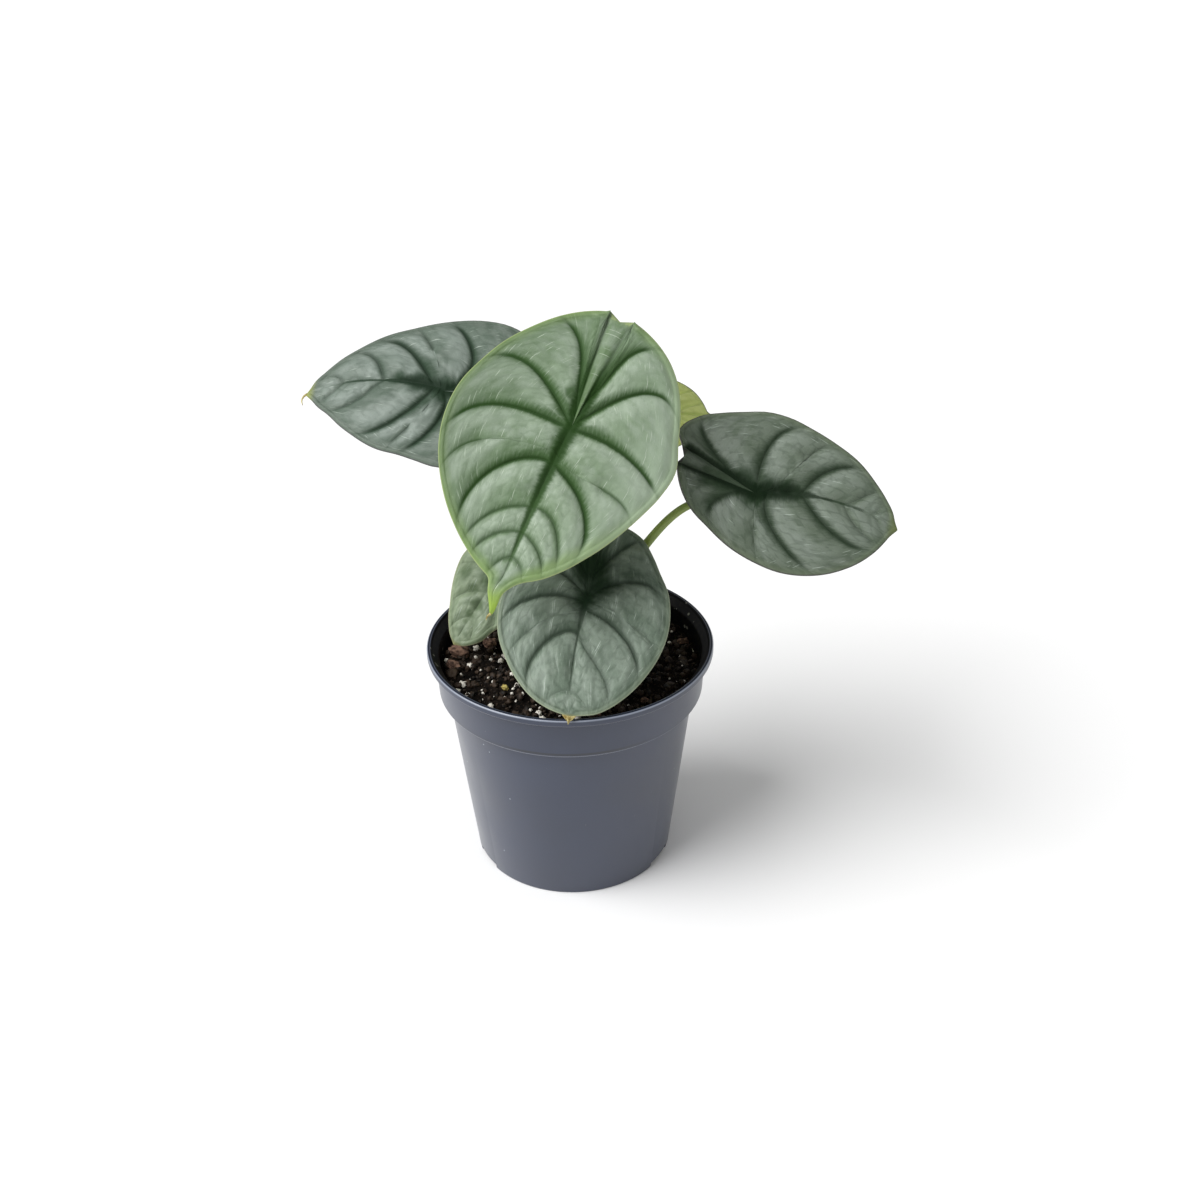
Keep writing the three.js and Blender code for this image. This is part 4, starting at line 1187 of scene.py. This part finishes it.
def leaf_material(name, look):
    """Silver panels between dark veins whose colour runs out into the panels in fine streaks."""
    s = Shader(name)
    above, below, vein, baseward, weight = s.attributes("above", "below", "vein", "baseward", "weight")
    mid, edge, loop, net, stain, strip = s.attributes("mid", "edge", "loop", "net", "stain", "strip")
    along, cross, reach, tip = s.attributes("along", "cross", "reach", "tip")
    aside, upper = s.attributes("aside", "upper")
    streak = s.noise(s.vector(along * 1.3, cross * 0.22, look.seed), 1, 4, 0.62)
    ray = s.noise(s.vector(tip * 75, mid * 0.24, look.seed + 3), 1, 4, 0.62)
    cloud = s.noise(s.vector(along * 0.13, cross * 0.17, look.seed + 5), 1, 3, 0.55)
    scratch = s.noise(s.vector(along * 1.8, cross * 0.11, look.seed + 11), 1, 1, 0.4)
    ribbing = s.noise(s.vector(cross * 2.4, along * 0.12, look.seed))
    grain = s.noise(s.vector(along, cross, look.seed), 2.6, 3, 0.6)
    ragged = (streak - 0.5) * look.ragged
    wander = cloud - 0.5

    # The dark colour round the veins, the midrib and the joint
    width = along.fade(2, 42, 1, 0.36) * weight.fade(0, 1, 0.3, 1) * reach.fade(3, 24, look.spread, 1)
    near = vein / (width * baseward.fade(0, 1, look.downward, look.upward)) + ragged
    vein_end = loop.fade(-0.6, 5, look.vein_end, 1) * weight.fade(0, 1, look.faint, 1)
    mid_width = tip.fade(look.mid_from, look.mid_to, look.mid_width, look.mid_thin)
    mid_near = mid / (mid_width * tip.fade(-0.4, 0, 0.45, 1)) + (ray - 0.5) * look.ragged * 0.6
    basal = tip.fade(-0.52, -0.2, look.basal, 1)
    mid_shade = mid_near.fade(0.35, 1.15, 1, 0) * tip.fade(0.62, 0.88, 1, 0) * basal
    pool = (reach + wander * look.pool).fade(look.pool * 0.2, look.pool, look.pool_strength, 0)
    stained = (stain + wander * 0.5).fade(0.1, 0.85) * look.stain
    shade = (near.fade(0.05, 1.1, 1, 0) * vein_end).most(mid_shade) * look.shade
    shade = shade.most(pool.most(stained)) * strip.fade(0, 1, 1, look.strip_shade)
    line = vein.fade(0.15, 1.3, 1, 0) * vein_end * look.line
    core = mid_near.fade(0.2, 0.8, 1, 0) * tip.fade(0.1, 0.7, look.core, 0)
    core = core * basal * strip.fade(0, 0.6, 1, 0)

    # The silver of the panels, with painted light and shade, and the margin
    # Painted light of the puffed panels, partly the silver's own tone: lighter just tipward of each vein
    glow = below.fade(0.6, 2.6) * below.fade(3.5, 13, look.glow, 0) * loop.fade(0, 6)
    # Painted light shining through the thin blade: the pale margin widens towards the tip, mostly on the
    # right side
    painted_backlight_rim = tip.fade(0.2, 0.8, 0, look.rim_tip) * aside.fade(0, 0.4, 0.15, 1)
    rim = loop + wander * look.rim_wander - painted_backlight_rim
    rim = rim.fade(look.rim_from, look.rim_to, look.rim_strength, 0)
    silver = s.layers(
        look.silver,
        (cloud.fade(0.35, 0.65), look.silver_two),
        # Painted shade of the puffed panels, partly the silver's own tone: darker on the baseward side of
        # each vein, then the painted light
        (above.fade(1.5, 11, look.hollow, 0), look.silver_two),
        (glow, look.light),
        (streak.fade(0.52, 0.74, 0, look.streaks), look.light),
        (scratch.fade(0.68, 0.73, 0, look.scratches), look.scratch),
        (net.fade(0, 0.22, look.net, 0), look.vein),
        (grain.fade(0.35, 0.7, look.mottle, 0), look.vein),
        (rim, look.margin),
    )
    # Painted light and shade: the blade's left half darker and its right half lighter, as light falls on it
    sideways = aside * look.sideways
    silver = s.mix(sideways.fade(-1, 0, 0.5, 0), silver, look.silver_two, "MULTIPLY")
    strip_share = ribbing.fade(0.35, 0.65, look.strip_light * 0.2, look.strip_light) * strip
    colour = s.layers(
        silver,
        (sideways.fade(0, 1, 0, 0.6), look.light),
        (shade, look.vein),
        (line.most(core), look.vein_deep),
        (strip_share * reach.fade(8, 34, 1, 0.35), look.strip),
        (abs(loop).fade(0.1, 0.8, look.ring, 0) * cloud.fade(0.4, 0.6, 0.35, 1), look.vein),
        (edge.fade(0.12, 0.55, look.edge_strength, 0), look.edge),
        ((tip + ragged * 0.04).fade(look.tip_from, look.tip_full), look.tip),
    )
    under = s.layers(
        look.under,
        (cloud.fade(0.35, 0.65), look.under_two),
        (vein.fade(0.2, 1.2, 0.7, 0).most(mid.fade(0.3, 1.8, 1, 0)) * 0.6, look.under_rib),
        (edge.fade(0.15, 0.7, 0.8, 0), look.edge),
    )
    return s.finished(
        Coat_Weight=0.02, Coat_Roughness=0.3,
        Base_Color=s.mix(upper, under, colour),
        Roughness=streak.fade(0.3, 0.7, look.roughness - 0.06, look.roughness + 0.08) + shade * 0.25,
        Specular_IOR_Level=shade.fade(0.1, 0.8, look.specular, 0.04),
        Normal=s.bump(streak * 0.3 + grain * 0.3 + ribbing * strip * 0.6, 0.4 * MM, look.bump),
    )


# How the blades look: strengths and widths, then colours of 0 to 255. LOOKS holds what differs from LOOK.
LOOK = dict(
    seed=1, ragged=0.9, streaks=0.15, scratches=0.7, net=0.22, mottle=0.12, hollow=0.6, glow=0.4,
    sideways=0,
    upward=4.6, downward=1.8, spread=1.3, vein_end=0.2, faint=0.4, shade=0.85, line=0.55,
    mid_width=4, mid_thin=0.9, mid_from=0, mid_to=0.5, basal=0.9, core=0.8, pool=11, pool_strength=0.8,
    stain=0.85,
    strip_light=0.3, strip_shade=0.35, rim_from=-2, rim_to=1.5, rim_wander=2, rim_tip=0, rim_strength=0.4,
    ring=0.25, edge_strength=0.8, tip_from=0.9, tip_full=1,
    roughness=0.4, specular=0.25, bump=0.6,
    silver=(114, 126, 111), silver_two=(96, 111, 94), light=(148, 160, 147), scratch=(176, 188, 176),
    vein=(32, 54, 32), vein_deep=(20, 36, 20), strip=(100, 118, 90), margin=(100, 114, 88),
    edge=(84, 90, 78), tip=(120, 132, 72), under=(112, 126, 92), under_two=(102, 118, 82),
    under_rib=(120, 132, 88),
)
LOOKS = {
    "front": dict(
        hollow=0.8, glow=0.5, sideways=0.8, upward=5.8, faint=0.5, shade=0.92, mid_width=6, mid_thin=0.5,
        mid_from=-0.2, mid_to=0.9, basal=0.15, pool=9.5, strip_light=0.7, strip_shade=0.6, rim_from=-3,
        rim_to=2.5, rim_wander=2.5, rim_tip=4, rim_strength=0.8, ring=0.2, edge_strength=0.65,
        tip_from=0.83, tip_full=0.96,
        silver=(132, 148, 127), silver_two=(106, 128, 96), light=(168, 182, 164), scratch=(196, 208, 190),
        vein=(54, 80, 42), vein_deep=(26, 52, 14), strip=(92, 118, 72), margin=(120, 146, 84),
        edge=(158, 172, 118), tip=(136, 164, 66), under=(112, 132, 80),
    ),
    "left": dict(
        seed=2, ragged=0.6, hollow=0.85, glow=0.6, upward=5.5, downward=2.4, spread=1.6, faint=0.3,
        shade=0.8, mid_width=6.5, mid_thin=0.7, mid_from=0.1, mid_to=0.45, pool=12, pool_strength=0.95,
        strip_light=0, tip_from=0.92,
        silver=(112, 123, 113), silver_two=(88, 102, 90), light=(146, 157, 149), vein=(42, 60, 44),
        vein_deep=(20, 36, 22), margin=(94, 105, 92), edge=(80, 80, 80), tip=(140, 148, 74),
    ),
    "right": dict(
        seed=3, ragged=0.7, net=0.3, hollow=0.75, upward=5.6, downward=2.8, spread=1.7, faint=0.15,
        shade=0.72, line=0.3, mid_width=7, mid_thin=0.7, mid_from=0.2, mid_to=0.45, pool=12,
        pool_strength=0.97, strip_light=0.85, strip_shade=0.8, ring=0.1,
        silver=(118, 128, 116), silver_two=(97, 109, 93), light=(144, 154, 144), vein=(32, 50, 30),
        vein_deep=(14, 28, 14), strip=(56, 70, 52), margin=(92, 104, 72), edge=(66, 62, 62),
        tip=(96, 106, 62),
    ),
    "low": dict(
        seed=4, ragged=0.5, streaks=0.3, net=0.25, upward=4.2, downward=2, faint=0.1, shade=0.55, line=0.35,
        mid_width=3, mid_thin=0.6, mid_to=0.35, core=0.5, pool=12, pool_strength=0.95, stain=0.97,
        strip_light=0, strip_shade=1, ring=0.35, tip_from=0.97,
        silver=(122, 135, 121), silver_two=(102, 117, 102), light=(152, 165, 152), vein=(26, 43, 26),
        vein_deep=(24, 40, 26), margin=(118, 131, 106), edge=(140, 150, 124), tip=(124, 122, 80),
    ),
    "small": dict(
        seed=5, hollow=0.3, glow=0.2, shade=0.22, line=0.1, core=0.1, stain=0.6, tip_from=0.93,
        silver=(144, 158, 131), silver_two=(121, 136, 109), vein=(58, 78, 46), vein_deep=(40, 58, 34),
        margin=(118, 132, 98), edge=(150, 152, 118), tip=(146, 146, 100),
    ),
    "back": dict(
        seed=6, shade=0.7, tip_from=0.95,
        silver=(136, 152, 112), silver_two=(122, 140, 98), vein=(60, 84, 44), vein_deep=(48, 70, 34),
        # Underside colours painted brighter and yellower: partly the young leaf's own colour, partly
        # painted light shining through the thin blade
        edge=(120, 126, 100), under=(216, 226, 142), under_two=(204, 216, 130), under_rib=(158, 176, 92),
    ),
}


def petiole_material():
    s = Shader("petiole_skin")
    along, around, rise = s.attributes("along", "around", "rise")
    lengthwise = s.noise(s.vector(along * 0.08, around * 3, 2), 1, 4, 0.6)
    fleck = s.noise(s.vector(along * 0.6, around * 2.2, 8), 1.6, 2)
    colour = s.layers(
        (104, 116, 66),
        (rise.fade(0.05, 0.6), (124, 144, 62)),
        (lengthwise.fade(0.4, 0.65, 0, 0.5), (150, 164, 92)),
        (fleck.fade(0.56, 0.7, 0, 0.4), (86, 96, 50)),
    )
    return s.finished(
        Coat_Weight=0.1, Coat_Roughness=0.3, Base_Color=colour,
        Roughness=lengthwise.fade(0.3, 0.7, 0.38, 0.52), Normal=s.bump(lengthwise, 0.2 * MM, 0.5),
    )


def pot_material():
    """Slate plastic with faint clouds, scratches and specks, painted shade and highlight lines at the step
    and on the rim, painted shadow under the foot, and an inside wall painted near black as shade, with soil
    crumbs on it.
    """
    s = Shader("pot_plastic_skin")
    place = s.place()
    x, y, z = (s.node("ShaderNodeSeparateXYZ", axis, {0: place}) * (1 / MM) for axis in range(3))
    radius = s.math("SQRT", x * x + y * y)
    cloud = s.noise(place, 28)
    speck = s.cells(place, 90) + s.noise(place, 40, 1).fade(0.38, 0.5, 0.08, 0)
    scratch = s.noise(s.vector(x * 0.9, y * 0.9, z * 0.26), 1, 2)
    # Painted shade and light at the step: a dark line on the collar just above it and a highlight along its
    # edge, fading out to the sides
    line_ends = abs(x).fade(*STEP_LINE_ENDS, 1, 0.2)
    painted_step_shadow = abs(z - STEP_SHADOW_Z).fade(0.3, 0.9, 0.7, 0)
    painted_step_highlight = abs(z - STEP_HIGHLIGHT_Z).fade(0.1, 0.45, 0.5, 0)
    # On the rim's flat top: painted shade where a groove runs near the outer edge, and a painted highlight
    # along that edge
    on_top = z.fade(POT_HEIGHT - 0.9, POT_HEIGHT - 0.3)
    painted_groove_shade = abs(radius - (RIM_RADIUS - RIM_GROOVE_SHADE)).fade(0.2, 0.4, 0.75, 0) * on_top
    painted_rim_highlight = radius.fade(RIM_RADIUS - 0.5, RIM_RADIUS - 0.25, 0, 0.6) * on_top
    # Painted shadow in the gaps of the foot ring and under the pot's base
    under = radius.fade(BASE_RADIUS - 1.4, BASE_RADIUS - 0.4, 0.85, 0)
    under = under * z.fade(FOOT_HEIGHT, FOOT_HEIGHT + 0.4, 1, 0)
    # The inside wall above the soil: painted shade, near black, with soil mottling and pale crumbs on it
    inner = z.fade(*INSIDE_WIDENS, COLLAR_RADIUS - WALL + 0.3, RIM_RADIUS - 1.5)
    inside = (radius - inner).fade(-0.2, 0.15, 0.96, 0) * z.fade(*INSIDE_FROM)
    crumb = s.cells(place, 260) + s.noise(place, 75, 1).fade(0.5, 0.6, 0.5, 0)
    shade_and_soil_residue = s.layers(
        (5, 6, 5),
        (s.noise(place, 420, 3, 0.6).fade(0.45, 0.62), (20, 18, 13)),
        (crumb.fade(0.16, 0.24, 0.8, 0), (134, 134, 124)),
    )
    colour = s.layers(
        (34, 43, 64),
        (cloud.fade(0.3, 0.7), (42, 51, 73)),
        (speck.fade(0.022, 0.036, 0.8, 0), (160, 166, 176)),
        (scratch.fade(0.76, 0.8, 0, 0.3), (120, 126, 138)),
        (painted_step_shadow * line_ends, (20, 23, 30)),
        (painted_step_highlight * line_ends, (122, 130, 146)),
        (inside, shade_and_soil_residue),
        (painted_groove_shade, (22, 26, 33)),
        (painted_rim_highlight, (168, 176, 190)),
        (under, (12, 14, 18)),
    )
    dull = painted_groove_shade.most(inside)
    return s.finished(
        Base_Color=colour, Roughness=cloud.fade(0.3, 0.7, 0.36, 0.48),
        Specular_IOR_Level=dull.fade(0, 0.75, 0.45, 0.1), Coat_Weight=dull.fade(0, 0.75, 0.45, 0),
        Coat_Roughness=0.3, Sheen_Weight=dull.fade(0, 0.75, 0.12, 0), Sheen_Roughness=0.45,
        Normal=s.bump(s.noise(place, 1400, 2, 0.6), 0.06 * MM, 0.35),
    )


def soil_material():
    s = Shader("soil_skin")
    fine = s.noise(s.place(), 1500, 3, 0.6)
    colour = s.layers(
        (5, 4, 3),
        (s.noise(s.place(), 260, 4, 0.65).fade(0.35, 0.65), (24, 18, 14)),
        (fine.fade(0.62, 0.7, 0, 0.6), (96, 76, 58)),
    )
    return s.finished(Base_Color=colour, Roughness=0.95, Specular_IOR_Level=0.1,
                      Normal=s.bump(fine, 0.5 * MM, 0.8))


def grain_material(name, dark, light, scale, rough):
    s = Shader(name)
    cloud = s.noise(s.place(), scale, 4, 0.6)
    return s.finished(Base_Color=s.mix(cloud.fade(0.35, 0.62), dark, light), Roughness=rough,
                      Specular_IOR_Level=0.2, Normal=s.bump(cloud, 0.4 * MM, 0.6))


# Stem

def stem_piece():
    """The short knobbly stem with the old leaf bases round it."""
    profile = [
        (0, STEM_FOOT_Z), (5, STEM_FOOT_Z), (8.5, STEM_FOOT_Z + 7),
        (STEM_RADIUS - 1, STEM_TOP_Z - 17), (STEM_RADIUS, STEM_TOP_Z - 8),
        (STEM_RADIUS - 0.8, STEM_TOP_Z - 3), (STEM_RADIUS - 3.5, STEM_TOP_Z - 0.8), (0, STEM_TOP_Z),
    ]
    dense = []
    for (r0, z0), (r1, z1) in zip(profile, profile[1:]):
        steps = max(2, int(math.hypot(r1 - r0, z1 - z0) / 0.6))
        dense += [(r0 + (r1 - r0) * k / steps, z0 + (z1 - z0) * k / steps) for k in range(steps)]
    points, faces = turned([*dense, profile[-1]], 96)
    shaped = []
    for x, y, z in points:
        p = Vector((x, y, z))
        ring = 0.35 * math.sin(2.1 * z + 1.2 * math.sin(math.atan2(y, x)))
        swell = 0.9 * noise.noise(p * 0.22) + 0.35 * noise.noise(p * 0.8) + ring * 0.4
        away = max(math.hypot(x, y), 1e-6)
        grow = min(away / 4, 1) * (swell - 0.6)
        shaped.append((x + x / away * grow, y + y / away * grow, z - 0.5 * abs(swell)))
    return mesh_object("stem_knob", shaped, faces)


def sheath_bodies(name):
    """The open sheath at a petiole's foot: it wraps the petiole and ends in a thin pointed lip."""
    path, _ = petiole_path(name)
    rise = np.linspace(0, 1, SHEATH_RINGS)
    run = np.append(0, np.cumsum(np.linalg.norm(np.diff(path, axis=0), axis=1)))
    centres = np.stack([np.interp(rise * SHEATH_LENGTH, run, path[:, k]) for k in range(3)], -1)
    radii = 3.1 + 1.5 * (1 - rise) ** 1.5
    outward = path[0] * (1, 1, 0)
    outward = outward / np.linalg.norm(outward)
    rings = np.reshape(tube(centres, radii, TUBE_SIDES)[0], (SHEATH_RINGS, TUBE_SIDES, 3))
    offset = rings - centres[:, None]
    open_side = np.clip(-(offset @ outward) / radii[:, None], 0, 1)
    outer = centres[:, None] + offset * (1 - 0.36 * rise[:, None] * open_side)[..., None]
    inner = outer - (outer - centres[:, None]) * (SHEATH_WALL / radii)[:, None, None]
    points = np.concatenate([outer.reshape(-1, 3), inner.reshape(-1, 3)])
    return points.tolist(), closed_skin(bands(SHEATH_RINGS, TUBE_SIDES), SHEATH_RINGS * TUBE_SIDES)


# The object

def rough_piece(name, slot, bodies, dark, light, scale, rough=0.9):
    """Several bodies as one piece in a mottled dull material."""
    material = grain_material(f"{name}_skin", dark, light, scale, rough)
    finish_piece(mesh_object(name, *joined_bodies(bodies)), material, slot)


for leaf_name, leaf in LEAVES.items():
    slot = {"front": "leaf_pale", "back": "leaf_young"}.get(leaf_name, "leaf_silver")
    skin = leaf_material(f"leaf_skin_{leaf_name}", SimpleNamespace(**{**LOOK, **LOOKS[leaf_name]}))
    finish_piece(blade_mesh(f"leaf_{leaf_name}", leaf), skin, slot, f"blade_{leaf_name}")

rough_piece("dry_ends", "leaf_pale", [*dry_hairs(), dry_scale()], (118, 98, 42), (196, 186, 132), 500, 0.7)

stalk_skin = petiole_material()
for leaf_name in LEAVES:
    finish_piece(petiole_mesh(leaf_name), stalk_skin, "petiole", f"petiole_{leaf_name}")

finish_piece(pot_piece(), pot_material(), "pot_plastic", "pot")
stem_skin = grain_material("stem_skin", (96, 88, 56), (128, 134, 84), 300, 0.9)
finish_piece(stem_piece(), stem_skin, "stem", "stem")
rough_piece("sheaths", "stem", map(sheath_bodies, LEAVES), (118, 122, 72), (140, 146, 88), 180, 0.6)

finish_piece(soil_bed(), soil_material(), "soil", "soil")
chips, grains, dark_lumps = grains_and_chips()
chips += [seen_lump(place, k, 0.5, 3, 0.35, 0.6) for k, place in enumerate(SEEN_BARK)]
grains += [seen_lump(place, k, 0.8, 2, 0.5) for k, place in enumerate(SEEN_PERLITE)]
yellow = seen_lump(SEEN_YELLOW_GRAIN, 5, 0.8, 3, 0.5)
rough_piece("bark", "soil", chips, (58, 42, 35), (134, 106, 90), 420)
rough_piece("yellow_grain", "soil", [yellow], (132, 112, 56), (196, 184, 112), 700)
rough_piece("perlite", "soil", grains + crumbs(**PERLITE_CRUMBS), (196, 190, 178), (232, 228, 218), 900)
rough_piece("clods", "soil", dark_lumps + crumbs(**CLODS), (5, 4, 3), (58, 46, 36), 300, 0.6)


# The stage, the light and the camera

def sun(name, heading, elevation, softness, power):
    """A distant lamp with a wide disc: heading is where its light goes, from +X towards +Y."""
    data = bpy.data.lights.new(name, "SUN")
    data.angle = math.radians(softness)
    data.energy = power
    lamp = add_object(name, data)
    turn, dip = math.radians(heading), math.radians(elevation)
    way = Vector((*polar(math.cos(dip), turn), -math.sin(dip)))
    lamp.rotation_mode = "QUATERNION"
    lamp.rotation_quaternion = way.to_track_quat("-Z", "Y")


def floor():
    half = FLOOR_WIDTH / 2
    corners = [(-half, -half, 0), (half, -half, 0), (half, half, 0), (-half, half, 0)]
    piece = mesh_object("floor", corners, [[0, 1, 2, 3]])
    s = Shader("floor_paint")
    colour = s.mix(s.noise(s.place(), 3, 2), (240, 240, 240), (244, 244, 244))
    piece.data.materials.append(s.finished(Base_Color=colour, Roughness=0.9))


def surroundings(strength):
    world = bpy.data.worlds.new("studio")
    world.use_nodes = True
    light = world.node_tree.nodes["Background"].inputs
    light["Color"].default_value = (1, 1, 1, 1)
    light["Strength"].default_value = strength
    bpy.context.scene.world = world


def camera():
    data = bpy.data.cameras.new("camera")
    data.lens = CAMERA_LENS
    data.sensor_width = CAMERA_SENSOR
    piece = add_object("camera", data)
    piece.location = [axis * MM for axis in CAMERA_PLACE]
    pitch = Matrix.Rotation(math.radians(90 - CAMERA_PITCH), 4, "X")
    turn = pitch @ Matrix.Rotation(math.radians(CAMERA_ROLL), 4, "Z")
    piece.rotation_euler = turn.to_euler()
    bpy.context.scene.camera = piece


floor()
surroundings(SKY_STRENGTH)
sun("key", KEY_HEADING, KEY_ELEVATION, KEY_SOFTNESS, KEY_POWER)
camera()
bpy.context.scene.view_settings.view_transform = "Standard"
